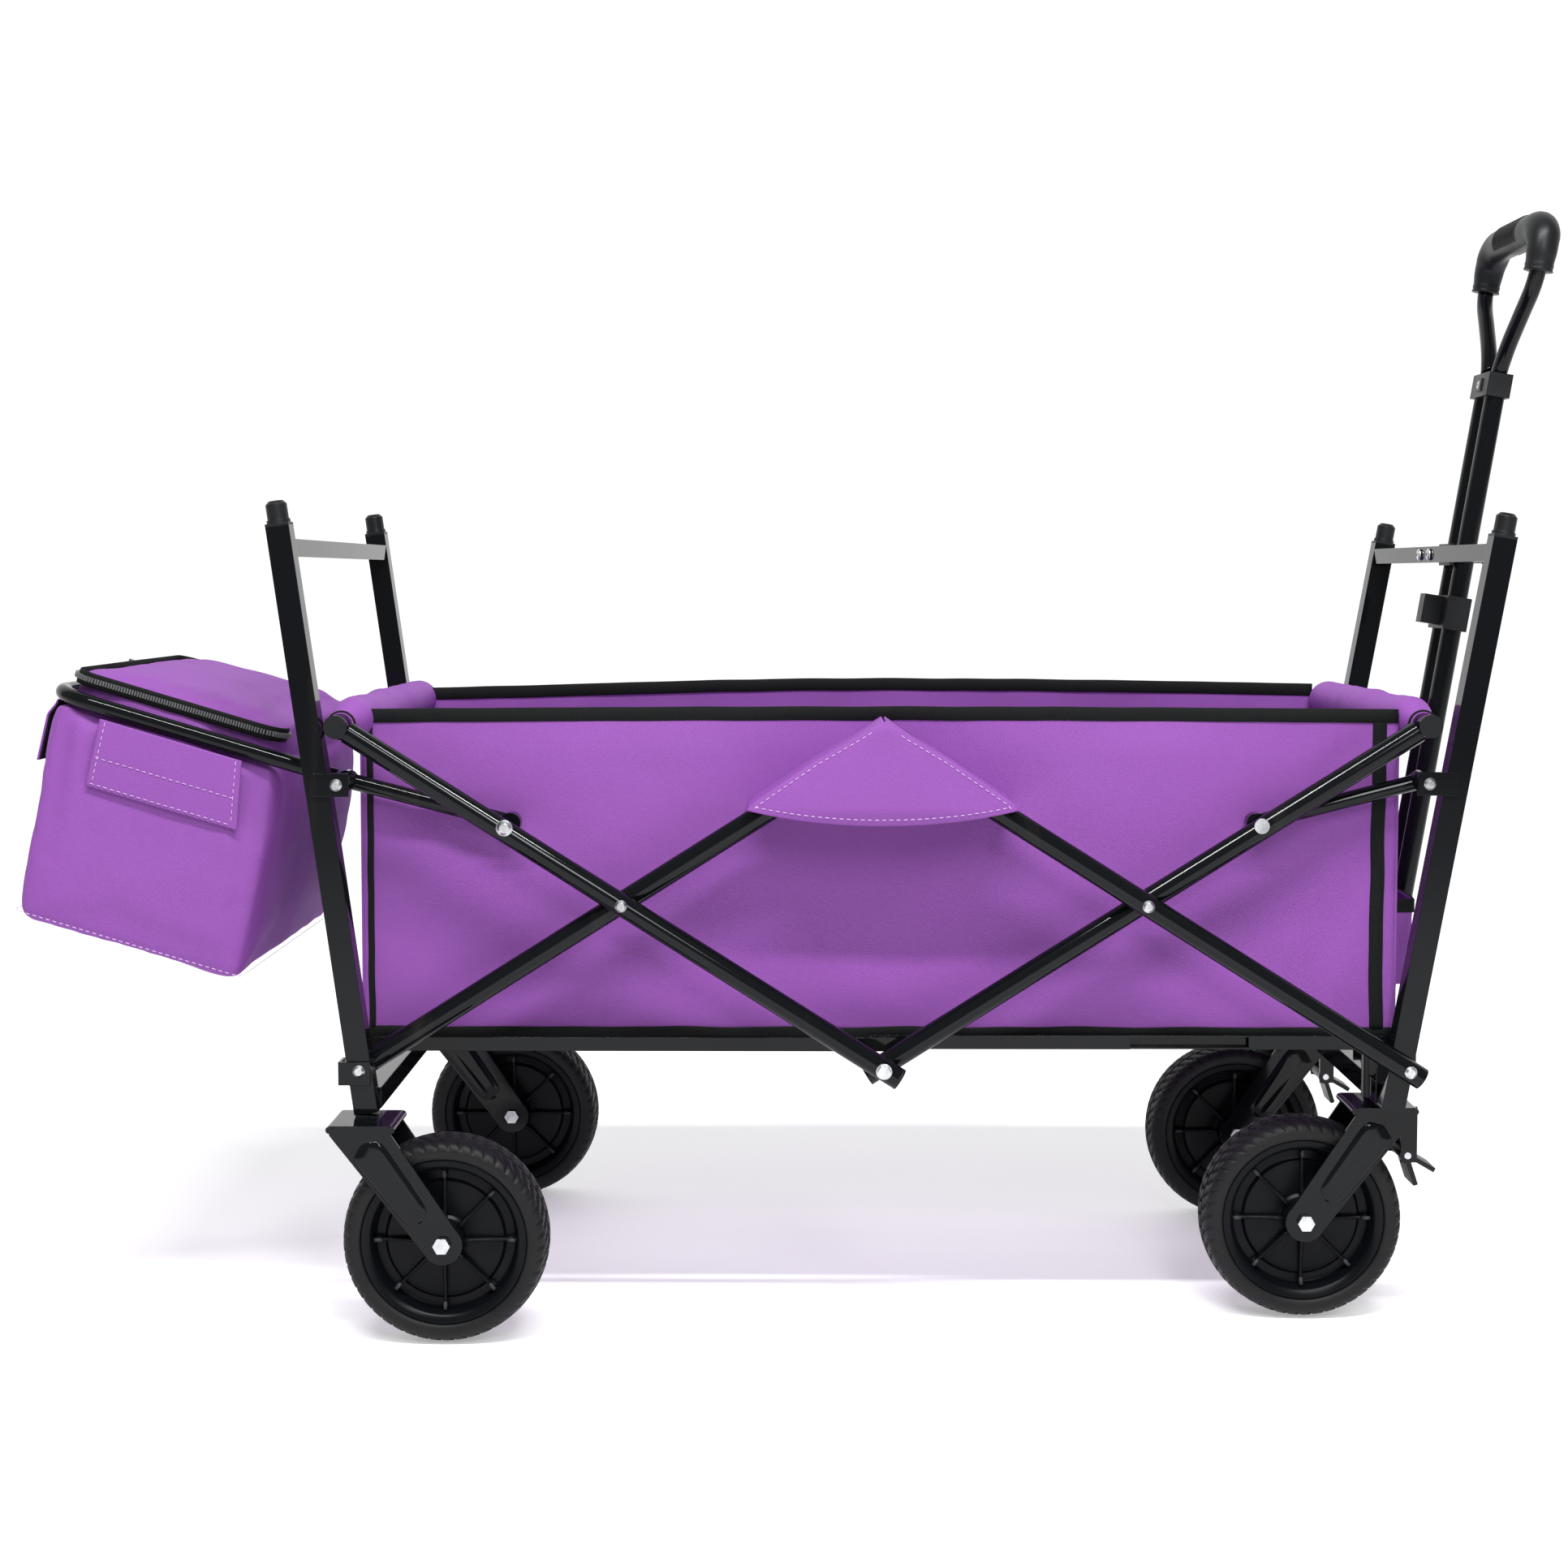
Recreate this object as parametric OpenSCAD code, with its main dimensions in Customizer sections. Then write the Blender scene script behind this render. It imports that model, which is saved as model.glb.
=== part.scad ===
// Folding utility wagon: a scissor frame, fabric tub, rear bag, caster wheels and a telescopic pull handle.
// Millimetres, +Z up, +X towards the pull handle, symmetric about Y = 0, standing on Z = 0.

/* [Frame] */

// Half length of a scissor arm, cross pivot to end pivot
arm = 264; // [240:1:290]
// Angle of the scissor arms above level when the wagon is open
arm_angle = 32.3; // [28:0.1:38]
// Height of the end pivots of the scissor arms
pivot_z = 227; // [215:1:240]
// Outer diameter of the scissor tubes
arm_d = 19; // [16:1:22]
// Side of the square corner posts
post_w = 20; // [18:1:25]
// Wall of the steel tubes
wall = 1.5; // [1:0.1:2.5]
// Distance from the centre plane to the outer tube layer
outer_y = 240; // [235:1:250]
// Distance from the centre plane to the inner tube layer
inner_y = 220; // [215:1:225]
// Diameter of the pivot pins
pin_d = 8; // [6:0.5:10]

/* [Wheels] */

// Diameter of the tyres
tyre_d = 172; // [150:1:200]
// Width of the tyres
tyre_w = 52; // [45:1:60]
// Distance from the centre plane to the middle of a rear wheel
rear_track = 252; // [248:1:260]
// Distance from the centre plane to the middle of a front wheel
front_track = 172; // [165:1:176]
// Offset of the axle from the middle of its fork plate
trail = 68; // [60:1:75]
// Number of ribs in a wheel
ribs = 8; // [5:1:12]

/* [Tub] */

// Half width of the fabric tub, outside
tub_y = 186; // [180:1:187]
// Height of the tub's top edge
tub_top = 530; // [500:1:540]
// Height of the underside of the tub's floor
tub_z = 250; // [249:1:260]
// Thickness of the fabric
cloth = 3; // [2:0.5:4]

/* [Bag] */

// Length of the rear bag along the rack
bag_l = 196; // [150:1:220]
// Depth of the rear bag
bag_h = 184; // [120:1:200]
// Half width of the rear bag
bag_y = 206; // [180:1:208]
// Height of the bag's lid above the rack
bag_lid = 28; // [10:1:35]

/* [Handle] */

// Lean of the pull handle from upright
lean = 9.5; // [8:0.1:16]
// Length of the handle's outer tubes
outer_len = 607; // [550:1:640]
// Height of the grip above the handle's pivot, along the handle
grip_s = 746; // [720:1:790]
// Width of the grip, tube middle to tube middle
grip_w = 174; // [130:1:190]

/* [Hidden] */

$fn = 64;
e = 0.01;
fit = 0.05;
pin_r = pin_d / 2;
arm_r = arm_d / 2;
cross_x = arm * cos(arm_angle);
cross_z = pivot_z + arm * sin(arm_angle);
top_z = pivot_z + 2 * arm * sin(arm_angle);
cap_len = 284;
cap_x = cross_x + cap_len * cos(arm_angle);
cap_z = cross_z + cap_len * sin(arm_angle);
foot_z = 190;
rear_foot = [-441, foot_z];
rear_head = [-510.5, 689];
front_foot = [436.5, foot_z];
front_head = [524, 679];
p0 = [-2 * cross_x, pivot_z];
p1 = [-463, 471];
q0 = [-321.5, pivot_z + 207.5];
rear_bar_z = 671;
front_bar_z = 667;
stem_x = 436;
fork_x = -440;
axle_z = tyre_d / 2;
rack_lean = 16.65;
rack_len = 265;
rack_y = 200;
rack_r = 7;
brace_y = 200;
handle_x = 472;
handle_z = 225;
tube_gap = 17.5;
leg_y = 30;
plate_t = 2.5;
bag_edge = p1[0] + (27 - rack_len) * cos(rack_lean) - (12 + bag_h) * sin(rack_lean);
grip_edge = handle_x + grip_s * sin(lean) + 15.5;
mid_x = (bag_edge + grip_edge) / 2;

// Which sub-part to draw

// Placement helpers

module place() {
    translate([-mid_x, 0, 0]) children();
}

module both() {
    children();
    mirror([0, 1, 0]) children();
}

module along(p, q, y) {
    translate([p[0], y, p[1]])
        rotate([0, 90 - atan2(q[1] - p[1], q[0] - p[0]), 0])
            children();
}

module rod_y(x, z, y0, y1, r) {
    translate([x, y0, z]) rotate([-90, 0, 0]) cylinder(r = r, h = y1 - y0);
}

module pipe(len, r, t) {
    difference() {
        cylinder(r = r, h = len);
        translate([0, 0, -1]) cylinder(r = r - t, h = len + 2);
    }
}

module square_pipe(len, w, d, t) {
    difference() {
        translate([-w / 2, -d / 2, 0]) cube([w, d, len]);
        translate([-w / 2 + t, -d / 2 + t, -1]) cube([w - 2 * t, d - 2 * t, len + 2]);
    }
}

// A flat-topped rivet head: its base lies at y and it rises towards +Y when dir is 1.
module head_y(x, z, y, dir, r, h) {
    translate([x, y, z]) rotate([-90 * dir, 0, 0]) cylinder(r1 = r, r2 = r * 0.6, h = h);
}

module hex_y(x, z, y0, y1, r) {
    translate([x, y0, z]) rotate([-90, 0, 0]) cylinder(r = r, h = y1 - y0, $fn = 6);
}

// Corner posts

module post(foot, head, y) {
    along(foot, head, y)
        square_pipe(norm(head - foot), post_w, post_w, wall);
}

module post_plug(foot, head, y) {
    along(foot, head, y) translate([0, 0, norm(head - foot)]) {
        translate([-post_w / 2, -post_w / 2, 0]) cube([post_w, post_w, 2.5]);
        translate([0, 0, 2.5 - e]) cylinder(r = 10, h = 3);
        translate([0, 0, 5.5 - 2 * e]) cylinder(r = 9, h = 13);
        translate([0, 0, 18.5 - 3 * e]) cylinder(r1 = 9, r2 = 6, h = 3);
    }
}

module rear_posts() {
    color([0.09, 0.10, 0.12]) place() both() difference() {
        post(rear_foot, rear_head, outer_y);
        rod_y(p0[0], p0[1], outer_y - 20, outer_y + 20, pin_r);
    }
}

module front_posts() {
    color([0.09, 0.10, 0.12]) place() both() difference() {
        post(front_foot, front_head, inner_y);
        rod_y(-p0[0], p0[1], inner_y - 20, inner_y + 20, pin_r);
    }
}

module rear_plugs() {
    color([0.03, 0.03, 0.03]) place() both() post_plug(rear_foot, rear_head, outer_y);
}

module caster_cap() {
    translate([stem_x, front_track, foot_z + 51]) {
        cylinder(r = 14, h = 3);
        translate([0, 0, 3 - e]) cylinder(r1 = 13, r2 = 9, h = 3);
    }
}

module front_plugs() {
    color([0.03, 0.03, 0.03]) place() both() {
        post_plug(front_foot, front_head, inner_y);
        caster_cap();
    }
}

// Cross bars

function on_post(foot, head, z) = foot[0] + (head[0] - foot[0]) * (z - foot[1]) / (head[1] - foot[1]);

module cross_bar(x, z, half, w, h) {
    translate([x, -half, z]) rotate([-90, 0, 0]) square_pipe(2 * half, w, h, wall);
}

module rear_top_bar() {
    color([0.09, 0.10, 0.12]) place()
        cross_bar(on_post(rear_foot, rear_head, rear_bar_z), rear_bar_z, outer_y - post_w / 2, 18, 15);
}

module front_top_bar() {
    color([0.09, 0.10, 0.12]) place()
        cross_bar(on_post(front_foot, front_head, front_bar_z), front_bar_z, inner_y - post_w / 2, 18, 15);
}

module rear_low_bar() {
    color([0.09, 0.10, 0.12]) place()
        cross_bar(rear_foot[0], foot_z + 10, outer_y - post_w / 2, post_w, post_w - 2);
}

module caster_housing() {
    translate([stem_x, front_track, foot_z + 1]) cylinder(r = 14, h = 50);
}

module caster_bore() {
    translate([stem_x, front_track, foot_z - 20]) cylinder(r = 8 + fit, h = 90);
}

module handle_ears() {
    for (s = [-1, 1]) translate([0, s * 29.5 - 1.5, 0]) {
        translate([stem_x + post_w / 2 - e, 0, foot_z + 2]) cube([handle_x - stem_x - 10, 3, 35]);
        rod_y(handle_x, handle_z, 0, 3, 11);
    }
}

module front_low_bar() {
    color([0.09, 0.10, 0.12]) place() difference() {
        union() {
            cross_bar(stem_x, foot_z + 11, inner_y - post_w / 2, post_w, post_w);
            both() caster_housing();
            handle_ears();
        }
        both() caster_bore();
        rod_y(handle_x, handle_z, -60, 60, pin_r);
    }
}

// Pivot brackets on the posts

module ear_plate(x, z, y, w, h) {
    translate([x - w / 2, y, z - h / 2]) cube([w, plate_t, h]);
}

module rear_brackets() {
    color([0.08, 0.09, 0.10]) place() both() difference() {
        union() {
            ear_plate(-469, 471, outer_y + post_w / 2, 33, 20);
            ear_plate(p0[0] - 4, 225, outer_y + post_w / 2, 27, 20);
            translate([p0[0] - 15 - plate_t, outer_y - 10, 215])
                cube([plate_t, post_w + plate_t, 20]);
        }
        rod_y(p0[0], p0[1], outer_y, outer_y + 20, pin_r);
        rod_y(p1[0], p1[1], outer_y, outer_y + 20, pin_r);
    }
}

module front_brackets() {
    color([0.08, 0.09, 0.10]) place() both() difference() {
        union() {
            ear_plate(470, 471, inner_y + post_w / 2, 34, 20);
            ear_plate(-p0[0] - 3, 224.3, inner_y - post_w / 2 - plate_t, 34, 26);
        }
        rod_y(-p0[0], p0[1], inner_y - 20, inner_y + 20, pin_r);
        rod_y(-p1[0], p1[1], inner_y - 20, inner_y + 20, pin_r);
    }
}

module rear_pins() {
    color([0.75, 0.76, 0.78]) place() both() {
        rod_y(p0[0], p0[1], 186.9, outer_y + 12.5, pin_r);
        head_y(p0[0], p0[1], outer_y + 12.5, 1, 5.4, 2.6);
        rod_y(p1[0], p1[1], 191, outer_y + 12.5, pin_r);
        head_y(p1[0], p1[1], outer_y + 12.5, 1, 5.4, 2.6);
    }
}

module front_pins() {
    color([0.75, 0.76, 0.78]) place() both() {
        rod_y(-p0[0], p0[1], 186.9, outer_y + 10.5, pin_r);
        head_y(-p0[0], p0[1], outer_y + 10.5, 1, 5.4, 2.6);
        rod_y(-p1[0], p1[1], 191, inner_y + 12.5, pin_r);
        head_y(-p1[0], p1[1], inner_y + 12.5, 1, 5.4, 2.6);
        rod_y(handle_x, handle_z, e, 31.5, pin_r);
        head_y(handle_x, handle_z, 31.2, 1, 5.4, 2.6);
    }
}

// Scissor arms

module arm_tube(p, q, y) {
    along(p, q, y) pipe(norm(q - p), arm_r, wall);
}

module pin_hole(x, z, y, r) {
    rod_y(x, z, y - 15, y + 15, r);
}

// One arm of the scissor: it starts 14 mm before p and ends 14 mm after q.
module scissor_arm(p, q, y, over) {
    u = (q - p) / norm(q - p);
    arm_tube(p - 14 * u, q + over * u, y);
}

rear_cap = [-cap_x, cap_z];
rear_cross = [-cross_x, cross_z];
front_cross = [cross_x, cross_z];
hub = [0, pivot_z];
top = [0, top_z];

module arm_a() {
    color([0.10, 0.11, 0.13]) place() both() difference() {
        scissor_arm(hub, rear_cap, outer_y, -arm_r - 0.1);
        pin_hole(rear_cross[0], rear_cross[1], outer_y, pin_r);
        pin_hole(hub[0], hub[1], outer_y, pin_r);
    }
}

module arm_b() {
    color([0.10, 0.11, 0.13]) place() both() difference() {
        scissor_arm(p0, top, inner_y, 12);
        pin_hole(p0[0], p0[1], inner_y, pin_r + fit);
        pin_hole(rear_cross[0], rear_cross[1], inner_y, pin_r + fit);
        pin_hole(top[0], top[1], inner_y, pin_r);
    }
}

module arm_c() {
    color([0.10, 0.11, 0.13]) place() both() difference() {
        scissor_arm([-p0[0], p0[1]], top, outer_y, 12);
        pin_hole(-p0[0], p0[1], outer_y, pin_r + fit);
        pin_hole(front_cross[0], front_cross[1], outer_y, pin_r + fit);
        pin_hole(top[0], top[1], outer_y, pin_r + fit);
    }
}

module arm_d() {
    color([0.10, 0.11, 0.13]) place() both() difference() {
        scissor_arm(hub, [cap_x, cap_z], inner_y, -arm_r - 0.1);
        pin_hole(front_cross[0], front_cross[1], inner_y, pin_r);
        pin_hole(hub[0], hub[1], inner_y, pin_r + fit);
    }
}

module top_tube(x, half) {
    translate([x, -half, cap_z]) rotate([-90, 0, 0]) pipe(2 * half, arm_r, wall);
}

module rear_top_tube() {
    color([0.10, 0.11, 0.13]) place() top_tube(-cap_x, outer_y + arm_r);
}

module front_top_tube() {
    color([0.10, 0.11, 0.13]) place() top_tube(cap_x, inner_y + arm_r);
}

module tube_plug(x, y) {
    rod_y(x, cap_z, y + e, y + 3.5, arm_r + 0.5);
    rod_y(x, cap_z, y - 8, y + 1, arm_r - wall);
}

module arm_plug(from, y) {
    u = (from - hub) / norm(from - hub);
    along(hub - 14 * u, from, y) {
        translate([0, 0, -2.5]) cylinder(r = arm_r, h = 2.5 - e);
        translate([0, 0, -1]) cylinder(r = arm_r - wall, h = 7);
    }
}

module arm_plugs_a() {
    color([0.03, 0.03, 0.03]) place() both() {
        arm_plug(rear_cap, outer_y);
        tube_plug(-cap_x, outer_y + arm_r);
    }
}

module arm_plugs_d() {
    color([0.03, 0.03, 0.03]) place() both() {
        arm_plug([cap_x, cap_z], inner_y);
        tube_plug(cap_x, inner_y + arm_r);
    }
}

// Pins through the crossing arms

module cross_rivets_a() {
    color([0.75, 0.76, 0.78]) place() both() {
        rod_y(rear_cross[0], rear_cross[1], inner_y - 10, outer_y + 10, pin_r);
        head_y(rear_cross[0], rear_cross[1], outer_y + 9.7, 1, 5.4, 2.6);
        head_y(rear_cross[0], rear_cross[1], inner_y - 9.7, -1, 5.4, 1.8);
        rod_y(q0[0], q0[1], outer_y + arm_r + e, outer_y + 9.7, 7);
        head_y(q0[0], q0[1], outer_y + 9.7, 1, 6.5, 3);
    }
}

module cross_rivets_d() {
    color([0.75, 0.76, 0.78]) place() both() {
        rod_y(front_cross[0], front_cross[1], inner_y - 10, outer_y + 10, pin_r);
        head_y(front_cross[0], front_cross[1], outer_y + 9.7, 1, 5.4, 2.6);
        head_y(front_cross[0], front_cross[1], inner_y - 9.7, -1, 5.4, 1.8);
        rod_y(-q0[0], q0[1], inner_y + arm_r + e, inner_y + 10.3, 6.5);
    }
}

module hub_bolts() {
    color([0.80, 0.81, 0.83]) place() both() {
        rod_y(hub[0], hub[1], inner_y - 14, outer_y + 13, pin_r);
        rod_y(hub[0], hub[1], outer_y + 9.6, outer_y + 11, 6.8);
        hex_y(hub[0], hub[1], outer_y + 11, outer_y + 16, 6);
        hex_y(hub[0], hub[1], inner_y - 15, inner_y - 10, 7);
    }
}

module top_rivets() {
    color([0.75, 0.76, 0.78]) place() both() {
        rod_y(top[0], top[1], inner_y - 10, outer_y + 10, pin_r);
        head_y(top[0], top[1], outer_y + 9.7, 1, 6.5, 1.2);
        head_y(top[0], top[1], inner_y - 9.7, -1, 5.4, 1.8);
    }
}

// Braces, rack and base rails

module rack_corner() {
    translate([-rack_len + 40, rack_y - 40, 0]) rotate([0, 0, 90])
        rotate_extrude(angle = 90) translate([40, 0]) circle(r = rack_r);
}

module on_rack() {
    translate([p1[0], 0, p1[1]]) rotate([0, rack_lean, 0]) children();
}

module rack_tube() {
    color([0.10, 0.11, 0.13]) place() on_rack() {
        both() {
            translate([-rack_len + 40, rack_y, 0]) rotate([0, 90, 0])
                cylinder(r = rack_r, h = rack_len - 49.5);
            rack_corner();
        }
        translate([-rack_len, 40 - rack_y, 0]) rotate([-90, 0, 0])
            cylinder(r = rack_r, h = 2 * rack_y - 80);
    }
}

module brace(s) {
    difference() {
        union() {
            along([s * p1[0], p1[1]], [s * q0[0], q0[1]], brace_y)
                cylinder(r = rack_r, h = norm(q0 - p1));
            rod_y(s * p1[0], p1[1], brace_y - rack_r, brace_y + rack_r, 9);
            rod_y(s * q0[0], q0[1], brace_y - rack_r, brace_y + rack_r, 9);
        }
        rod_y(s * p1[0], p1[1], brace_y - 20, brace_y + 20, pin_r + fit);
    }
}

module rear_braces() {
    color([0.10, 0.11, 0.13]) place() both() brace(1);
}

module front_braces() {
    color([0.10, 0.11, 0.13]) place() both() brace(-1);
}

module rail(y, reach) {
    translate([p0[0] + 12, y - 5, pivot_z + 9.5]) cube([reach - 12, 10, 12]);
    translate([p0[0] - 8, y - 5, pivot_z + 2]) cube([26, 10, 19.5]);
    rod_y(p0[0], p0[1], y - 5, y + 5, 9);
}

module rear_rails() {
    color([0.10, 0.11, 0.13]) place() both() difference() {
        rail(203.5, -p0[0] + 12);
        rod_y(p0[0], p0[1], 180, 215, pin_r + fit);
        translate([p0[0] + 60, 200, pivot_z + 11]) cube([-p0[0] - 60, 7, 9]);
    }
}

module front_rails() {
    color([0.10, 0.11, 0.13]) place() both() mirror([1, 0, 0]) difference() {
        rail(192.5, -p0[0] + 12);
        rod_y(p0[0], p0[1], 180, 215, pin_r + fit);
        translate([p0[0] + 60, 189, pivot_z + 11]) cube([-p0[0] - 60, 7, 9]);
        translate([p0[0] + 128, 196, pivot_z]) cube([103, 3, 30]);
    }
}

// Wheels

module tyre_section() {
    difference() {
        union() {
            translate([62, -tyre_w / 2]) square([axle_z - 72, tyre_w]);
            translate([62, 10 - tyre_w / 2]) square([axle_z - 62, tyre_w - 20]);
            for (s = [-1, 1]) translate([axle_z - 10, s * (tyre_w / 2 - 10)]) circle(r = 10);
        }
        translate([50, -24.5]) square([20.5, 7.5]);
        translate([50, 17]) square([20.5, 7.5]);
        translate([50, -30]) square([20.5, 6]);
        translate([50, 24]) square([20.5, 6]);
        translate([50, -20]) square([13, 40]);
    }
}

module tyre(x, y) {
    translate([x, y, axle_z]) rotate([90, 0, 0]) rotate_extrude($fn = 96) tyre_section();
}

module rim_section() {
    translate([58, -22]) square([5, 44]);
    for (s = [0, 1]) mirror([0, s]) {
        translate([58, 17]) square([12.5, 7.5]);
        translate([13, 6]) square([36, 4]);
    }
    translate([13, -7]) square([46, 14]);
    translate([6.1, -27]) square([9, 54]);
}

module rim(x, y) {
    translate([x, y, axle_z]) rotate([90, 0, 0]) difference() {
        union() {
            rotate_extrude($fn = 96) rim_section();
            for (i = [0 : ribs - 1]) rotate([0, 0, i * 360 / ribs])
                translate([12, -1.4, -19]) cube([47, 2.8, 38]);
        }
        translate([0, 0, -40]) cylinder(r = 6.1, h = 80);
    }
}

module rear_tyre_left() {
    color([0.16, 0.16, 0.17]) place() tyre(fork_x + trail, rear_track);
}

module rear_rim_left() {
    color([0.05, 0.05, 0.06]) place() rim(fork_x + trail, rear_track);
}

module rear_tyre_right() {
    color([0.16, 0.16, 0.17]) place() tyre(fork_x + trail, -rear_track);
}

module rear_rim_right() {
    color([0.05, 0.05, 0.06]) place() rim(fork_x + trail, -rear_track);
}

module front_tyre_left() {
    color([0.16, 0.16, 0.17]) place() tyre(stem_x - trail, front_track);
}

module front_rim_left() {
    color([0.05, 0.05, 0.06]) place() rim(stem_x - trail, front_track);
}

module front_tyre_right() {
    color([0.16, 0.16, 0.17]) place() tyre(stem_x - trail, -front_track);
}

module front_rim_right() {
    color([0.05, 0.05, 0.06]) place() rim(stem_x - trail, -front_track);
}

// Forks. Drawn for a plate whose middle is at x = 0 and an axle at x = trail.

function tangent(c, r, p, s) =
    let (d = p - c, a = atan2(d[1], d[0]) + s * acos(r / norm(d)))
    c + r * [cos(a), sin(a)];

fork_top = foot_z - 3;
axle = [trail, axle_z];
leg_left = [-26, fork_top - 8];
leg_right = [26, fork_top - 8];

module leg_shape() {
    translate(axle) circle(r = 17);
    polygon([leg_left, leg_right, tangent(axle, 16.5, leg_right, -1), tangent(axle, 16.5, leg_left, 1)]);
    translate([-26, fork_top - 8 - e]) square([52, 8]);
}

module fork_leg() {
    translate([0, leg_y + plate_t, 0]) rotate([90, 0, 0]) linear_extrude(plate_t) leg_shape();
}

module fork_body() {
    difference() {
        union() {
            both() fork_leg();
            translate([-26, -leg_y - plate_t, fork_top - plate_t])
                cube([52, 2 * (leg_y + plate_t), plate_t]);
            for (s = [-1, 1]) rod_y(s * 26, fork_top - 3.4, -leg_y - plate_t - 0.3, leg_y + plate_t + 0.3, 3);
        }
        rod_y(axle[0], axle[1], -60, 60, 6);
    }
}

module axle_bolt(x, y, dir) {
    rod_y(x, axle_z, y - leg_y - plate_t - 4, y + leg_y + plate_t + 1, 6);
    hex_y(x, axle_z, dir > 0 ? y + leg_y + plate_t + e : y - leg_y - plate_t - 5.5,
        dir > 0 ? y + leg_y + plate_t + 5.5 : y - leg_y - plate_t - e, 7.4);
    hex_y(x, axle_z, dir > 0 ? y - leg_y - plate_t - 4.5 : y + leg_y + plate_t + e,
        dir > 0 ? y - leg_y - plate_t - e : y + leg_y + plate_t + 4.5, 7.4);
}

module rear_forks() {
    color([0.08, 0.09, 0.10]) place() both() translate([fork_x, rear_track, 0]) {
        fork_body();
        translate([-10, -22, fork_top - e]) cube([20, 20, 1.4]);
    }
}

module rear_axles() {
    color([0.80, 0.81, 0.83]) place() both() axle_bolt(fork_x + trail, rear_track, 1);
}

module caster_fork(s) {
    color([0.08, 0.09, 0.10]) place() translate([stem_x, s * front_track, 0]) mirror([1, 0, 0])
        difference() {
            union() {
                fork_body();
                translate([0, 0, fork_top - 2]) cylinder(r = 12, h = 5.5);
                translate([0, 0, fork_top]) cylinder(r = 8, h = 53.5);
                for (t = [-1, 1]) translate([-30, t * 22 - 1.5, 137]) cube([14, 3, 49]);
                for (t = [-1, 1]) rod_y(-22, 143, t * 22 - 1.5, t * 22 + 1.5, 7);
            }
            rod_y(-22, 143, -60, 60, 3);
        }
}

module caster_fork_left() {
    caster_fork(1);
}

module caster_fork_right() {
    caster_fork(-1);
}

module caster_axle_left() {
    color([0.80, 0.81, 0.83]) place() {
        axle_bolt(stem_x - trail, front_track, 1);
        rod_y(stem_x + 22, 143, front_track - 24, front_track + 24, 3);
    }
}

module caster_axle_right() {
    color([0.80, 0.81, 0.83]) place() {
        axle_bolt(stem_x - trail, -front_track, -1);
        rod_y(stem_x + 22, 143, -front_track - 24, -front_track + 24, 3);
    }
}

module brake(s) {
    color([0.06, 0.06, 0.07]) place() translate([stem_x + 22, s * front_track, 143]) difference() {
        union() {
            rod_y(0, 0, -20, 20, 6);
            rotate([0, 30, 0]) translate([3, -17, -2]) cube([26, 34, 4]);
            rotate([0, 72, 0]) translate([3, -17, -2]) cube([26, 34, 4]);
        }
        rod_y(0, 0, -40, 40, 3 + fit);
    }
}

module brake_left() {
    brake(1);
}

module brake_right() {
    brake(-1);
}

// Pull handle. Drawn upright along Z from its pivot.

module on_handle() {
    translate([handle_x, 0, handle_z]) rotate([0, lean, 0]) children();
}

module handle_tubes() {
    color([0.10, 0.11, 0.13]) place() on_handle() for (s = [-1, 1])
        translate([0, s * tube_gap, 14]) pipe(outer_len - 14, 9, wall);
}

module handle_foot() {
    color([0.06, 0.06, 0.07]) place() on_handle() difference() {
        union() {
            rod_y(0, 0, -27.5, 27.5, 11);
            translate([-9, -26, 4]) cube([18, 52, 9.9]);
        }
        rod_y(0, 0, -40, 40, pin_r + fit);
    }
}

module handle_collar() {
    color([0.05, 0.05, 0.06]) place() on_handle() difference() {
        union() {
            translate([-11, -28, outer_len - 12]) cube([22, 56, 22]);
            translate([-12.5, -8, outer_len - 7]) cube([25, 16, 12]);
        }
        for (s = [-1, 1]) translate([0, s * tube_gap, 0]) {
            cylinder(r = 9, h = outer_len);
            cylinder(r = 7.5, h = outer_len + 40);
        }
    }
}

module handle_latch() {
    color([0.05, 0.05, 0.06]) place() on_handle() difference() {
        union() {
            translate([-11, -28, 377]) cube([22, 56, 31]);
            translate([-28, -9, 380]) cube([17, 18, 27]);
        }
        for (s = [-1, 1]) translate([0, s * tube_gap, 300]) cylinder(r = 9, h = 200);
    }
}

module slant(p, q, r) {
    d = q - p;
    translate(p) rotate([0, acos(d[2] / norm(d)), atan2(d[1], d[0])]) cylinder(r = r, h = norm(d));
}

flare_0 = outer_len + 18;
flare_1 = outer_len + 78;
grip_drop = 38;

module grip_leg() {
    translate([0, tube_gap, flare_0 - 300]) cylinder(r = 7.4, h = 300);
    translate([0, tube_gap, flare_0]) sphere(r = 7.4);
    slant([0, tube_gap, flare_0], [0, grip_w / 2, flare_1], 7.4);
    translate([0, grip_w / 2, flare_1]) sphere(r = 7.4);
    translate([0, grip_w / 2, flare_1]) cylinder(r = 7.4, h = grip_s - grip_drop - flare_1);
}

module grip_tubes() {
    color([0.10, 0.11, 0.13]) place() on_handle() both() grip_leg();
}

module grip() {
    color([0.03, 0.03, 0.03]) place() on_handle() {
        rod_y(0, grip_s, -grip_w / 2 + 14, grip_w / 2 - 14, 14);
        both() {
            rod_y(0, grip_s, grip_w / 2 - 15, grip_w / 2 - 12, 15.5);
            rod_y(0, grip_s, grip_w / 2 - 13, grip_w / 2 + 9, 12.5);
            translate([0, grip_w / 2, grip_s - grip_drop + e]) cylinder(r = 11.5, h = grip_drop - 2);
        }
    }
}

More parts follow.
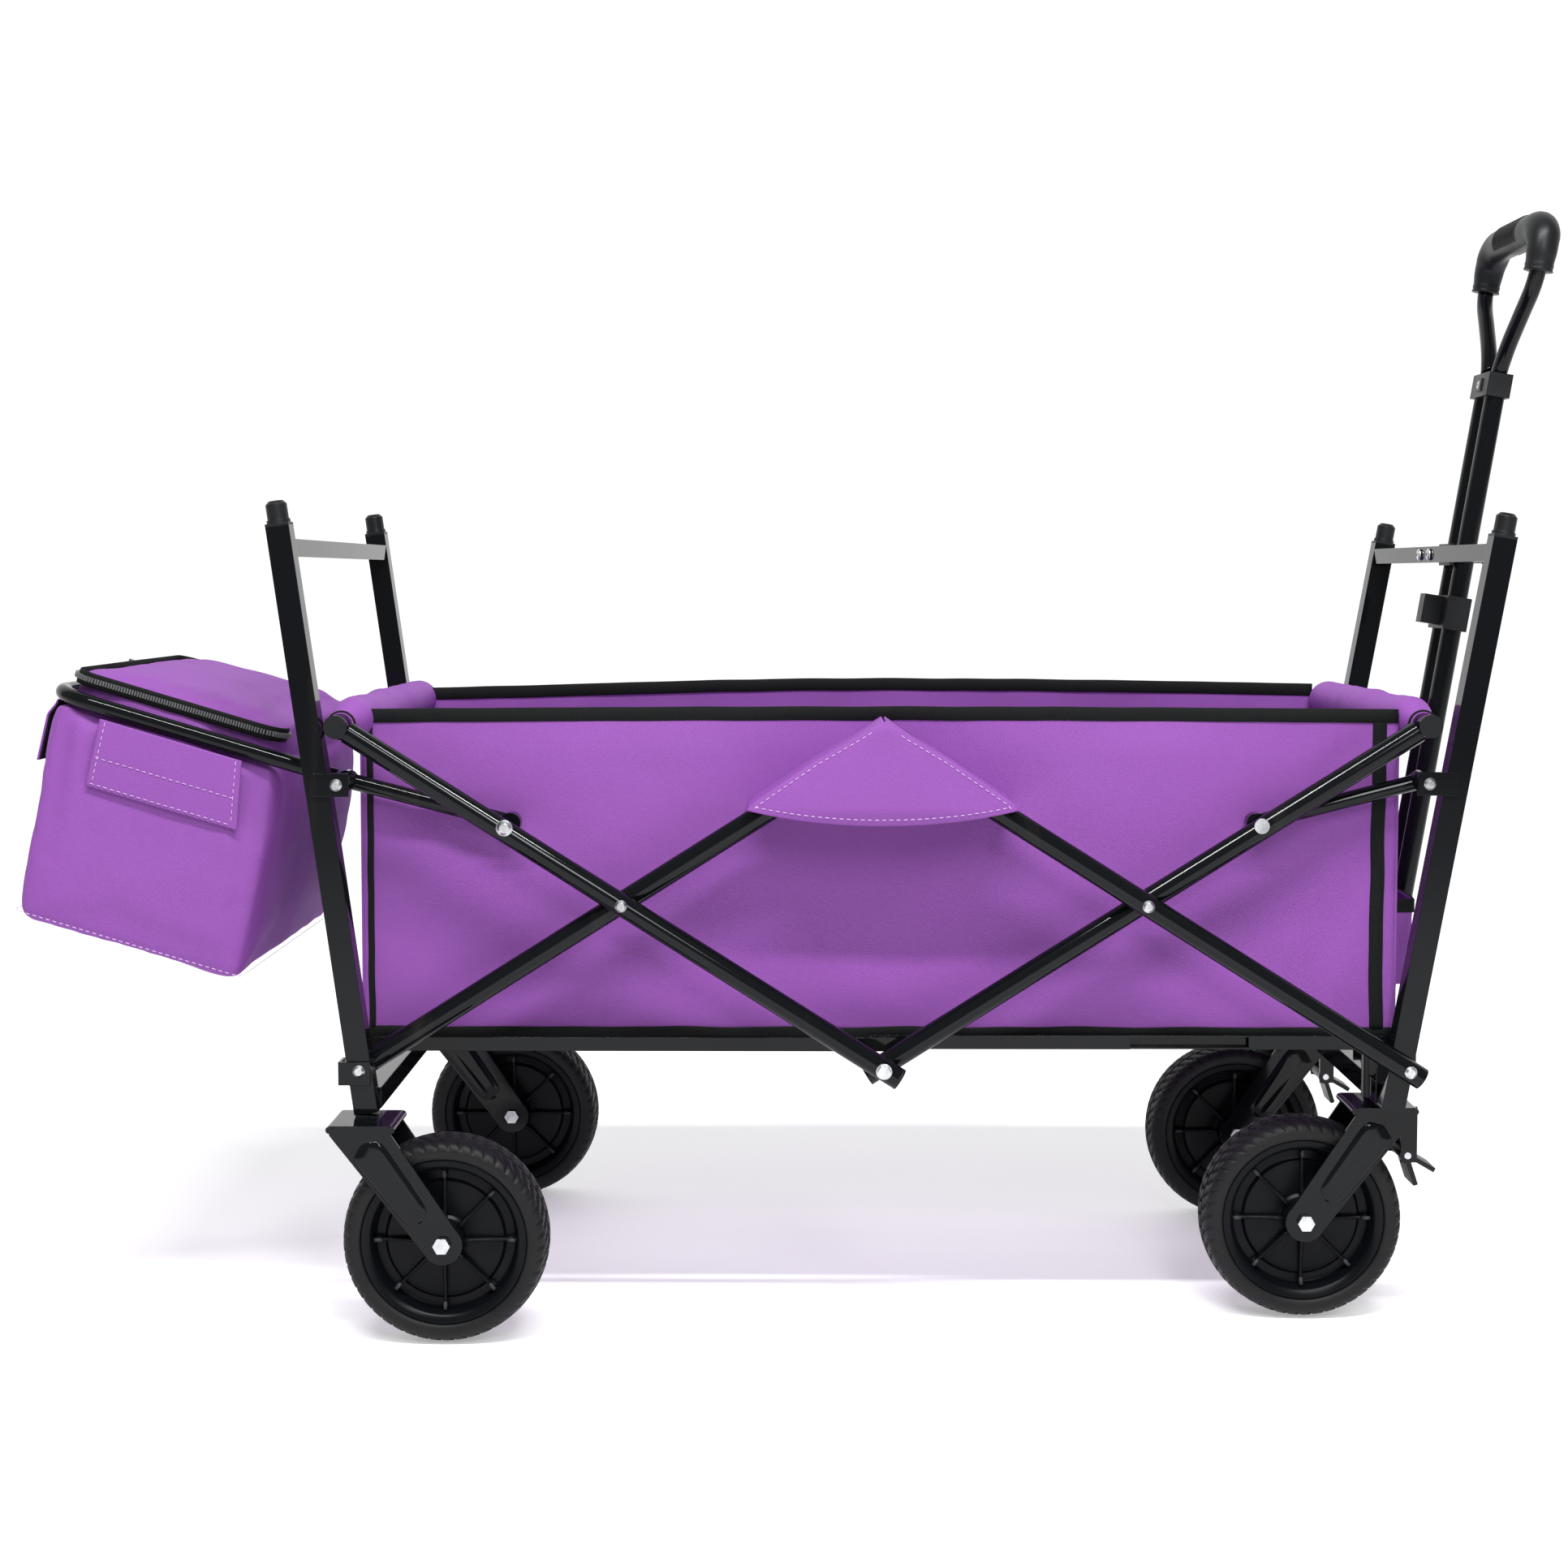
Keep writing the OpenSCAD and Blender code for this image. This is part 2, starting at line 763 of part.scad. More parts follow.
module handle_clip() {
    bar_x = on_post(front_foot, front_head, front_bar_z);
    color([0.05, 0.05, 0.06]) place() {
        translate([bar_x + 9 + e, -20, front_bar_z - 10]) cube([4, 40, 20]);
        translate([bar_x + 12, -6, front_bar_z - 8]) cube([36, 12, 16]);
        translate([bar_x + 46, -7.5, front_bar_z - 9]) cube([6, 15, 18]);
        for (y = [-18, 18])
            translate([bar_x - 10.5, y, front_bar_z]) rotate([0, 90, 0]) cylinder(r = 4.8, h = 1.5 - e);
    }
}

// Fabric tub

module tub_sides() {
    color([0.36, 0.17, 0.58]) place() both()
        translate([-446, tub_y - cloth, tub_z]) cube([892, cloth, tub_top - tub_z]);
}

module tub_ends() {
    color([0.36, 0.17, 0.58]) place() for (s = [0, 1]) mirror([s, 0, 0])
        translate([446 + e, -tub_y, tub_z]) cube([cloth, 2 * tub_y, 254]);
}

module tub_floor() {
    color([0.20, 0.16, 0.26]) place()
        translate([-445.9, -tub_y + cloth + e, tub_z]) cube([891.8, 2 * (tub_y - cloth - e), 8]);
}

module flap_shape() {
    intersection() {
        polygon([[-116, 449], [-60, 502], [-24, 528], [16, 528], [56, 502], [112, 453],
            [60, 441], [0, 437], [-60, 439]]);
        translate([-130, 430]) square([260, 98]);
    }
}

module tub_flaps() {
    color([0.33, 0.15, 0.54]) place() both() {
        translate([0, 258, 0]) rotate([90, 0, 0]) linear_extrude(cloth) flap_shape();
        translate([-24, tub_y + e, 525]) cube([40, 258 - tub_y, cloth]);
    }
}

module pocket(y) {
    translate([449 + 2 * e, y - 55, 288]) difference() {
        cube([22, 110, 74]);
        translate([-1, 2.5, 3]) cube([20.5, 105, 100]);
    }
}

module tub_pockets() {
    color([0.36, 0.17, 0.58]) place() {
        pocket(100);
        pocket(-100);
    }
}

module sleeve(x, half) {
    difference() {
        rod_y(x, cap_z, -half, half, arm_r + 4.5);
        rod_y(x, cap_z, -half - 1, half + 1, arm_r);
    }
}

module rear_sleeve() {
    color([0.36, 0.17, 0.58]) place() sleeve(-cap_x, outer_y - 12);
}

module front_sleeve() {
    color([0.36, 0.17, 0.58]) place() sleeve(cap_x, inner_y - 12);
}

// Rear bag, hung in the rack

module rear_bag() {
    back = 2 - rack_len;
    front = back + bag_l + 6;
    color([0.36, 0.17, 0.58]) place() on_rack() {
        translate([0, bag_y, 0]) rotate([90, 0, 0]) linear_extrude(2 * bag_y)
            polygon([[back, -7.5], [front, -7.5], [front + 23, -7.5 - bag_h], [back + 25, -12 - bag_h]]);
        translate([back + 12, 40 - rack_y, -8]) cube([bag_l - 6, 2 * rack_y - 80, bag_lid + 8]);
        translate([40 - rack_len, 12 - rack_y, -8]) cube([bag_l - 40, 2 * rack_y - 24, bag_lid + 8]);
    }
}

rear_posts();
rear_top_bar();
rear_low_bar();
rear_brackets();
rear_pins();
rear_plugs();
rear_forks();
rear_axles();
rear_tyre_left();
rear_rim_left();
rear_tyre_right();
rear_rim_right();
arm_a();
arm_b();
arm_c();
arm_d();
rear_top_tube();
front_top_tube();
arm_plugs_a();
arm_plugs_d();
cross_rivets_a();
cross_rivets_d();
hub_bolts();
top_rivets();
front_posts();
front_top_bar();
front_low_bar();
front_brackets();
front_pins();
front_plugs();
handle_clip();
rack_tube();
rear_braces();
front_braces();
rear_rails();
front_rails();
caster_fork_left();
caster_axle_left();
front_tyre_left();
front_rim_left();
brake_left();
caster_fork_right();
caster_axle_right();
front_tyre_right();
front_rim_right();
brake_right();
handle_tubes();
handle_foot();
handle_collar();
handle_latch();
grip_tubes();
grip();
tub_sides();
tub_ends();
tub_floor();
tub_flaps();
tub_pockets();
rear_sleeve();
front_sleeve();
rear_bag();
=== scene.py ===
import math
import bmesh
import bpy
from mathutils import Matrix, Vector, noise


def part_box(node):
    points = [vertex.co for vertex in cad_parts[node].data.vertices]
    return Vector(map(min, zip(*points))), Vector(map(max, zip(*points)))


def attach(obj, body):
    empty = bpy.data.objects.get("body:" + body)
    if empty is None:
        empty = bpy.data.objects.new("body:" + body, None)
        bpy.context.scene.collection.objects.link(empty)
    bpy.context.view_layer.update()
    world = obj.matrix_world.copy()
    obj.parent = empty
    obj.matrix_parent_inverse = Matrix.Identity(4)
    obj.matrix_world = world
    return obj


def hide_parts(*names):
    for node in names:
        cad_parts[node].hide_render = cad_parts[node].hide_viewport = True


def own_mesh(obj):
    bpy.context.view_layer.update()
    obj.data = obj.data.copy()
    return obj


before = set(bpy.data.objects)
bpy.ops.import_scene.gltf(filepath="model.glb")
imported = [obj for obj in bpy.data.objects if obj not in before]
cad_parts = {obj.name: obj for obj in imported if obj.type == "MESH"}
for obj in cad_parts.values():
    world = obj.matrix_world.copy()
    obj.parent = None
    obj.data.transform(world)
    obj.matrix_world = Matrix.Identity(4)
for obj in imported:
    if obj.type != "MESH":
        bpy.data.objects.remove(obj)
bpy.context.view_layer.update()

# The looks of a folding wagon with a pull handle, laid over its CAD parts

scene = bpy.context.scene
side_lo, side_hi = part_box("tub_sides")
MID = (side_lo.x + side_hi.x) / 2

# Places, in the wagon's own millimetres: x = 0 midway between the tub's ends

# The rack rises to the rear and the pull handle leans forward, each from its pivot
RACK, RACK_X, RACK_Z = math.radians(16.65), -463, 471
LEAN, HANDLE_X, HANDLE_Z = math.radians(9.5), 472, 225
# The tub's cloth, and its thick floor pad
TUB_REAR, TUB_FRONT, TUB_HALF = -452.5, 446.0, 185
TUB_LOW, TUB_HIGH = 250, 529
PAD_REAR, PAD_FRONT, PAD_HALF = -452, 446, 184


def at(x, y, z):
    return Vector((MID + x / 1000, y / 1000, z / 1000))


def on_rack(a, y, n):
    """a runs forward along the rack, n stands up from it."""
    return at(RACK_X + a * math.cos(RACK) + n * math.sin(RACK), y,
              RACK_Z - a * math.sin(RACK) + n * math.cos(RACK))


def on_handle(a, y, s):
    """s runs up the handle from its pivot, a points forward from it."""
    return at(HANDLE_X + a * math.cos(LEAN) + s * math.sin(LEAN), y,
              HANDLE_Z - a * math.sin(LEAN) + s * math.cos(LEAN))


def ease(t):
    """A soft step from 0 to 1 as t goes from 0 to 1."""
    t = min(max(t, 0.0), 1.0)
    return t * t * (3 - 2 * t)


def rough(x, y, z, size, seed=0.0):
    """Smooth noise from -1 to 1 whose features are about size millimetres."""
    return noise.noise(Vector((x / size + seed, y / size - seed, z / size + 2 * seed)))


def circle(count):
    """The angles of count points round a circle."""
    return [2 * math.pi * k / count for k in range(count)]


# Materials


class Shader:
    """A material under construction, with short calls for its nodes."""

    def __init__(self, name):
        self.mat = bpy.data.materials.new(name)
        self.mat.use_nodes = True
        self.tree = self.mat.node_tree
        self.bsdf = self.tree.nodes["Principled BSDF"]
        self.coords = self.add("ShaderNodeTexCoord").outputs["Object"]

    def add(self, kind, **values):
        node = self.tree.nodes.new(kind)
        for key, value in values.items():
            if isinstance(value, bpy.types.NodeSocket):
                self.tree.links.new(value, node.inputs[key.replace("_", " ")])
            elif key.replace("_", " ") in node.inputs:
                node.inputs[key.replace("_", " ")].default_value = value
            else:
                setattr(node, key, value)
        return node

    def math(self, kind, a, b=0.0, c=0.0):
        node = self.tree.nodes.new("ShaderNodeMath")
        node.operation = kind
        for socket, value in zip(node.inputs, (a, b, c)):
            if isinstance(value, bpy.types.NodeSocket):
                self.tree.links.new(value, socket)
            else:
                socket.default_value = value
        return node.outputs[0]

    def noise(self, scale, detail=3.0, stretch=None):
        coords = self.coords
        if stretch:
            coords = self.add("ShaderNodeMapping", Vector=coords, Scale=stretch).outputs[0]
        node = self.add("ShaderNodeTexNoise", Vector=coords, Scale=scale, Detail=detail)
        return node.outputs["Fac"]

    def ramp(self, value, low, high, color_low, color_high):
        node = self.add("ShaderNodeValToRGB", Fac=value)
        points = node.color_ramp.elements
        points[0].position, points[1].position = low, high
        points[0].color = (*color_low, 1)
        points[1].color = (*color_high, 1)
        return node.outputs[0]

    def span(self, value, low, high, out_low, out_high):
        node = self.add("ShaderNodeMapRange", Value=value)
        keys = ("From Min", "From Max", "To Min", "To Max")
        for key, number in zip(keys, (low, high, out_low, out_high)):
            node.inputs[key].default_value = number
        return node.outputs[0]

    def mix(self, factor, a, b):
        node = self.tree.nodes.new("ShaderNodeMix")
        node.data_type = "RGBA"
        self.tree.links.new(factor, node.inputs[0])
        for socket, value in ((node.inputs[6], a), (node.inputs[7], b)):
            if isinstance(value, bpy.types.NodeSocket):
                self.tree.links.new(value, socket)
            else:
                socket.default_value = (*value, 1)
        return node.outputs[2]

    def bump(self, height, strength, distance, normal=None):
        node = self.add("ShaderNodeBump", Height=height, Strength=strength, Distance=distance)
        if normal:
            self.tree.links.new(normal, node.inputs["Normal"])
        return node.outputs[0]

    def rounded(self, radius):
        return self.add("ShaderNodeBevel", Radius=radius, samples=4).outputs[0]

    def finish(self, color, roughness, normal=None, **constants):
        for key, value in (("Base Color", color), ("Roughness", roughness), ("Normal", normal)):
            if isinstance(value, bpy.types.NodeSocket):
                self.tree.links.new(value, self.bsdf.inputs[key])
            elif value is not None:
                self.bsdf.inputs[key].default_value = (*value, 1) if key == "Base Color" else value
        for key, value in constants.items():
            socket = self.bsdf.inputs[key.replace("_", " ")]
            socket.default_value = (*value, 1) if isinstance(value, tuple) else value
        return self.mat


def paint_material():
    s = Shader("frame_paint")
    peel = s.noise(900, 2)
    scuff = s.noise(26, 6, (1, 1, 0.12))
    color = s.ramp(scuff, 0.62, 0.8, (0.0030, 0.0036, 0.0045), (0.014, 0.012, 0.011))
    roughness = s.span(scuff, 0.3, 0.8, 0.035, 0.12)
    return s.finish(color, roughness, s.bump(peel, 0.004, 0.0003, s.rounded(0.0008)),
                    Specular_IOR_Level=0.2)


def steel_material():
    s = Shader("bright_steel")
    grain = s.noise(700, 3, (1, 5, 1))
    stain = s.noise(90, 4)
    color = s.ramp(stain, 0.3, 0.75, (0.42, 0.43, 0.45), (0.78, 0.79, 0.80))
    return s.finish(color, s.span(grain, 0.2, 0.8, 0.2, 0.42),
                    s.bump(grain, 0.15, 0.0003, s.rounded(0.0007)), Metallic=1.0)


def plastic_material(name, base, low, high, grain_size, shine=0.22):
    s = Shader(name)
    grain = s.noise(grain_size, 4)
    cloud = s.noise(18, 3)
    light = tuple(c * 1.7 for c in base)
    return s.finish(s.mix(cloud, base, light), s.span(cloud, 0.3, 0.7, low, high),
                    s.bump(grain, 0.16, 0.0003, s.rounded(0.0012)), Specular_IOR_Level=shine)


def tyre_material():
    s = Shader("tread")
    grain = s.noise(1300, 3)
    cloud = s.noise(22, 5)
    color = s.ramp(cloud, 0.3, 0.75, (0.0045, 0.0048, 0.0056), (0.0090, 0.0090, 0.0094))
    return s.finish(color, s.span(cloud, 0.3, 0.7, 0.45, 0.62), s.bump(grain, 0.35, 0.0004),
                    Specular_IOR_Level=0.22)


def weave_height(s, pitch, angle):
    """Twill lines and threads, laid on whichever plane the surface faces most."""
    xyz = s.add("ShaderNodeSeparateXYZ", Vector=s.coords).outputs
    geometry = s.add("ShaderNodeNewGeometry").outputs["Normal"]
    normal = s.add("ShaderNodeSeparateXYZ", Vector=geometry).outputs
    turn = 2 * math.pi / pitch
    total = None
    for facing, u, v in ((normal[1], xyz[0], xyz[2]), (normal[0], xyz[1], xyz[2]),
                         (normal[2], xyz[0], xyz[1])):
        lines = s.math("MULTIPLY_ADD", u, turn * math.sin(angle),
                       s.math("MULTIPLY", v, turn * math.cos(angle)))
        threads = s.math("MULTIPLY_ADD", u, turn * 1.9, s.math("MULTIPLY", v, turn * 0.35))
        height = s.math("MULTIPLY_ADD", s.math("SINE", threads), 0.35, s.math("SINE", lines))
        part = s.math("MULTIPLY", s.math("POWER", s.math("ABSOLUTE", facing), 4.0), height)
        total = part if total is None else s.math("ADD", total, part)
    return s.math("MULTIPLY_ADD", total, 0.37, 0.5)


def cloth_material(name, dark, light, pitch=0.0016, angle=0.58, sheen=0.35, shine=0.35):
    s = Shader(name)
    weave = weave_height(s, pitch, angle)
    cloud = s.noise(7, 4)
    fuzz = s.noise(1800, 2)
    folds = s.noise(38, 5, (1, 1, 0.5))
    color = s.mix(cloud, dark, light)
    raised = tuple(min(1, c * 1.5) for c in light)
    color = s.mix(s.math("MULTIPLY", weave, 0.5), color, raised)
    height = s.math("MULTIPLY_ADD", fuzz, 0.4, weave)
    fine = s.bump(height, 0.45, 0.0006)
    return s.finish(color, s.span(cloud, 0.3, 0.7, 0.62, 0.74), s.bump(folds, 0.22, 0.004, fine),
                    Sheen_Weight=sheen, Sheen_Roughness=0.45, Sheen_Tint=light,
                    Specular_IOR_Level=shine)


PAINT = paint_material()
STEEL = steel_material()
PLASTIC = plastic_material("black_plastic", (0.0055, 0.006, 0.0068), 0.30, 0.46, 2200)
RIM = plastic_material("rim_plastic", (0.0020, 0.0024, 0.0032), 0.22, 0.38, 900, 0.11)
TYRE = tyre_material()
CLOTH = cloth_material("purple_cloth", (0.166, 0.043, 0.241), (0.196, 0.054, 0.283))
TRIM = cloth_material("black_binding", (0.0035, 0.004, 0.0042), (0.0075, 0.008, 0.0082),
                      pitch=0.0012, angle=1.57, sheen=0.02, shine=0.1)
THREAD = cloth_material("purple_thread", (0.40, 0.25, 0.47), (0.50, 0.34, 0.56),
                        pitch=0.0008, angle=0.9, sheen=0.1)
# The zip's teeth and slider are black plastic; this dark grey is a painted glint that makes the teeth
# show as light dashes
ZIP_PAINTED_GLINT = plastic_material("zip_teeth", (0.085, 0.085, 0.09), 0.22, 0.35, 1500)
# The rib tips are the rim's own dark plastic; this lighter grey is a painted highlight where light
# catches them
PAINTED_TIP_HIGHLIGHT = plastic_material("rim_tips_painted_highlight", (0.022, 0.023, 0.026), 0.38, 0.5, 900)


def cad_material(name):
    if any(word in name for word in ("pins", "rivets", "bolts", "axle")):
        return STEEL
    plastic = ("plugs", "collar", "latch", "handle_foot", "clip", "brake")
    return PLASTIC if any(word in name for word in plastic) else PAINT


for node_name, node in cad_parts.items():
    if not node.material_slots:
        node.data.materials.append(None)
    for material_slot in node.material_slots:
        material_slot.material = cad_material(node_name)


# Mesh tools


def piece(name, verts, faces, mat, body, smooth=True):
    mesh = bpy.data.meshes.new(name)
    mesh.from_pydata([tuple(v) for v in verts], [], faces)
    mesh.materials.append(mat)
    bm = bmesh.new()
    bm.from_mesh(mesh)
    bmesh.ops.recalc_face_normals(bm, faces=bm.faces)
    bm.to_mesh(mesh)
    bm.free()
    if smooth:
        mesh.shade_smooth()
    obj = bpy.data.objects.new(name, mesh)
    scene.collection.objects.link(obj)
    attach(obj, body)
    return obj


def rounded(obj, width, segments=3, angle=35):
    """Rounds the sharp edges of a piece and keeps flat faces flat."""
    bevel = obj.modifiers.new("edge", "BEVEL")
    bevel.width = width
    bevel.segments = segments
    bevel.limit_method = "ANGLE"
    bevel.angle_limit = math.radians(angle)
    bevel.harden_normals = True
    return obj


def bake(obj):
    """Applies a piece's modifiers to its mesh."""
    graph = bpy.context.evaluated_depsgraph_get()
    mesh = bpy.data.meshes.new_from_object(obj.evaluated_get(graph))
    obj.modifiers.clear()
    obj.data = mesh
    return obj


def rings(rows, closed=False):
    """A skin over rows of points, each row a ring; it is capped, or closed on itself."""
    count, width = len(rows), len(rows[0])
    verts = [p for row in rows for p in row]
    faces = []
    for i in range(count if closed else count - 1):
        for j in range(width):
            a, b = i * width, ((i + 1) % count) * width
            k = (j + 1) % width
            faces.append((a + j, a + k, b + k, b + j))
    if not closed:
        faces.append(tuple(range(width)))
        faces.append(tuple(range((count - 1) * width, count * width)))
    return verts, faces


def sheet_mesh(surface, nu, nv, thick):
    """A closed sheet of even thickness about surface(u, v), u and v from 0 to 1."""
    grid = [[surface(i / nu, j / nv) for j in range(nv + 1)] for i in range(nu + 1)]
    front, back = [], []
    for i in range(nu + 1):
        for j in range(nv + 1):
            du = grid[min(i + 1, nu)][j] - grid[max(i - 1, 0)][j]
            dv = grid[i][min(j + 1, nv)] - grid[i][max(j - 1, 0)]
            shift = du.cross(dv).normalized() * thick / 2
            front.append(grid[i][j] + shift)
            back.append(grid[i][j] - shift)
    step, total = nv + 1, (nu + 1) * (nv + 1)
    faces = []
    for i in range(nu):
        for j in range(nv):
            a = i * step + j
            faces.append((a, a + 1, a + step + 1, a + step))
            faces.append((total + a, total + a + step, total + a + step + 1, total + a + 1))
    rim = list(range(nv)) + [i * step + nv for i in range(nu)]
    rim += [nu * step + j for j in range(nv, 0, -1)] + [i * step for i in range(nu, 0, -1)]
    for a, b in zip(rim, rim[1:] + rim[:1]):
        faces.append((a, b, total + b, total + a))
    return front + back, faces


def directions(points):
    """The direction of a line at each of its points."""
    last = len(points) - 1
    return [(points[min(i + 1, last)] - points[max(i - 1, 0)]).normalized()
            for i in range(last + 1)]


def sweep(points, radius, sides=16, closed=False):
    """A tube along points; radius is a number, or gives one or two at a place from 0 to 1."""
    tangents = directions(points)
    if closed:
        tangents[0] = tangents[-1] = (points[1] - points[-1]).normalized()
    up = tangents[0].orthogonal().normalized()
    rows = []
    for i, (p, t) in enumerate(zip(points, tangents)):
        up = (up - t * up.dot(t)).normalized()
        side = t.cross(up)
        r = radius(i / (len(points) - 1)) if callable(radius) else radius
        r = r if isinstance(r, tuple) else (r, r)
        rows.append([p + up * r[0] * math.cos(a) + side * r[1] * math.sin(a)
                     for a in circle(sides)])
    return rings(rows, closed)


def tape(points, outward, width, thick):
    """A flat tape with soft edges along points, its broad face towards outward."""
    rows = []
    half, lip = width / 2, thick * 0.35
    section = [(-half, 0), (-half, thick - lip), (-half + lip, thick), (0, thick * 1.06),
               (half - lip, thick), (half, thick - lip), (half, 0)]
    for p, t in zip(points, directions(points)):
        out = (outward - t * outward.dot(t)).normalized()
        side = t.cross(out)
        rows.append([p + side * a + out * b for a, b in section])
    return rings(rows)


def merged(parts):
    """One mesh out of several."""
    verts, faces = [], []
    for part_verts, part_faces in parts:
        base = len(verts)
        verts += part_verts
        faces += [tuple(base + i for i in face) for face in part_faces]
    return verts, faces


def resample(points, step):
    """Points along a line, a step apart, each with its direction."""
    out, carry = [], 0.0
    for a, b in zip(points, points[1:]):
        length = (b - a).length
        if length < 1e-9:
            continue
        place = carry
        while place < length:
            out.append((a.lerp(b, place / length), (b - a) / length))
            place += step
        carry = place - length
    return out


def stitches(lines, outward, step=0.0060, length=0.0038, thick=0.00033):
    """Dashes of thread along lines, standing a little proud of the cloth."""
    parts = []
    for line in lines:
        for p, t in resample(line, step):
            out = (outward - t * outward.dot(t)).normalized()
            side = t.cross(out)
            rows = []
            for along, size in ((-0.5, 0.35), (-0.36, 0.95), (0.0, 1.1), (0.36, 0.95), (0.5, 0.35)):
                middle = p + t * along * length + out * thick * (0.9 if abs(along) < 0.4 else 0.3)
                rows.append([middle + side * thick * size * math.cos(k * math.pi / 3) * 1.2
                             + out * thick * size * math.sin(k * math.pi / 3) for k in range(6)])
            parts.append(rings(rows))
    return merged(parts)


def block(corner_a, corner_b, place):
    """A box between two corners of a local frame, put in place by the function place."""
    (x0, y0, z0), (x1, y1, z1) = corner_a, corner_b
    verts = [place(x, y, z) for z in (z0, z1) for x, y in ((x0, y0), (x1, y0), (x1, y1), (x0, y1))]
    faces = [(0, 1, 2, 3), (4, 5, 6, 7), (0, 1, 5, 4), (1, 2, 6, 5), (2, 3, 7, 6), (3, 0, 4, 7)]
    return verts, faces


# Wheels


def tyre_mesh():
    """Cross-section from the inner lip over the tread to the other lip, with chevrons cut into it."""
    half = 26.0
    profile = [(70.6, half - 9.5), (70.6, half - 2.0), (71.4, half - 0.9), (73.5, half - 0.2),
               (76.0, half + 0.3)]
    profile += [(77 + 8.4 * math.sin(a), half - 8 + 8.4 * math.cos(a))
                for a in (0.15, 0.35, 0.55, 0.75, 0.95, 1.15, 1.35)]
    profile += [(87.6 - 0.0075 * y * y, y) for y in (16.5, 14, 12, 10, 8, 6.6, 5, 3, 1.6, 0.5)]
    profile += [(r, -y) for r, y in reversed(profile)]
    count, blocks = 480, 48
    rows = []
    for i, turn in enumerate(circle(count)):
        row = []
        for r, y in profile:
            phase = (i / count * blocks + abs(y) / half * 1.7) % 1.0
            if abs(y) < 17 and r > 84:
                cut = 2.2 if phase < 0.24 or abs(y) < 1.0 or 7.4 < abs(y) < 9 else 0.0
            elif r > 77.5:
                cut = 2.0 * ease((r - 78) / 5) * ease((0.30 - phase) / 0.08)
            else:
                cut = 0.0
            reach = (r - cut) / 1000
            row.append(Vector((reach * math.cos(turn), y / 1000, reach * math.sin(turn))))
        rows.append(row)
    return rings(rows, closed=True)


def lathe(profile, count=120):
    """A closed outline turned round the axle."""
    rows = [[Vector((r / 1000 * math.cos(turn), y / 1000, r / 1000 * math.sin(turn)))
             for r, y in profile] for turn in circle(count)]
    return rings(rows, closed=True)


def rim_meshes():
    """The dished rim with its hub, and the ribs and tips that stand on its web."""
    outer = [(6.4, 27), (13, 27), (15.6, 25.4), (16.6, 21), (17.5, 11.5), (20, 9.4), (46, 9.4),
             (49.2, 10.2), (50.4, 8.6), (51.6, 7.4), (58.6, 7.2), (60.2, 8.8), (61.4, 18),
             (62.8, 21.2), (65.5, 22.9), (69.6, 23.6), (70.5, 22.8), (70.5, 17.4), (63.5, 16.6)]
    profile = outer + [(r, -y) for r, y in reversed(outer)]
    body = lathe(profile)
    rib = [(15, 2.0, 22), (24, 1.8, 17.5), (38, 1.6, 15.4), (50, 1.6, 15.2), (59.8, 1.9, 16.6)]
    tip = [(52.4, 0.9, 12.0), (53.2, 1.7, 16.6), (56, 1.9, 17.4), (59.6, 1.9, 17.8), (60.6, 1.3, 13)]

    def spoke(places, turn, side, foot, narrow, drop):
        """A bar along one spoke: half width and top at each radius, its top edges cut back."""
        def point(a, b, c):
            x = a * math.cos(turn) - b * math.sin(turn)
            z = a * math.sin(turn) + b * math.cos(turn)
            return Vector((x / 1000, side * c / 1000, z / 1000))
        return rings([[point(a, -half, foot), point(a, -half * narrow, top - drop),
                       point(a, 0, top), point(a, half * narrow, top - drop),
                       point(a, half, foot)] for a, half, top in places])

    ways = [(turn, side) for turn in circle(8) for side in (1, -1)]
    ribs = [spoke(rib, *way, 6.5, 0.9, 1) for way in ways]
    tips = [spoke(tip, *way, 7, 0.8, 0.8) for way in ways]
    return body, merged(ribs), merged(tips)


def move(mesh, place):
    verts, faces = mesh
    return [v + place for v in verts], faces


TYRE_MESH = tyre_mesh()
RIM_BODY, RIM_RIBS, RIM_TIPS = rim_meshes()
for end in ("rear", "front"):
    for hand in ("left", "right"):
        low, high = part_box(f"{end}_tyre_{hand}")
        middle, body = (low + high) / 2, f"{end}_wheel_{hand}"
        tyre = piece(f"{end}_tyre_{hand}_tread", *move(TYRE_MESH, middle), TYRE, body)
        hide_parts(f"{end}_tyre_{hand}")
        rim = piece(f"{end}_rim_{hand}_dish", *move(RIM_BODY, middle), RIM, body)
        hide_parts(f"{end}_rim_{hand}")
        rim.data.set_sharp_from_angle(angle=math.radians(38))
        piece(f"{end}_rim_{hand}_ribs", *move(RIM_RIBS, middle), RIM, body)
        # The tips get the lighter grey: a painted highlight on the rib ends
        piece(f"{end}_rim_{hand}_tips", *move(RIM_TIPS, middle), PAINTED_TIP_HIGHLIGHT, body)


# Pressed ribs on the legs of the forks


def leg_rib(x, y, sign, way):
    """A raised, round-ended channel on a fork leg; way is the side that the axle lies to."""
    rows = []
    for k in range(17):
        t = k / 16
        middle = Vector((1 + 50 * t, 172 - 68 * t))
        width = (15.5 - 4.0 * t) * math.sqrt(max(0.0, 1 - (2 * t - 1) ** 8))
        lift = 2.3 * ease(min(t, 1 - t) * 9)
        normal = Vector((68, 50)).normalized()
        row = []
        for a, h in ((-1, 0), (-0.86, 0.75), (-0.66, 1), (-0.3, 0.82), (0, 0.78), (0.3, 0.82),
                     (0.66, 1), (0.86, 0.75), (1, 0)):
            p = middle + normal * width * a
            row.append(at(x + way * p.x, y + sign * (32.3 + lift * h), p.y))
        for p in (middle + normal * width, middle - normal * width):
            row.append(at(x + way * p.x, y + sign * 31, p.y))
        rows.append(row)
    return rings(rows)


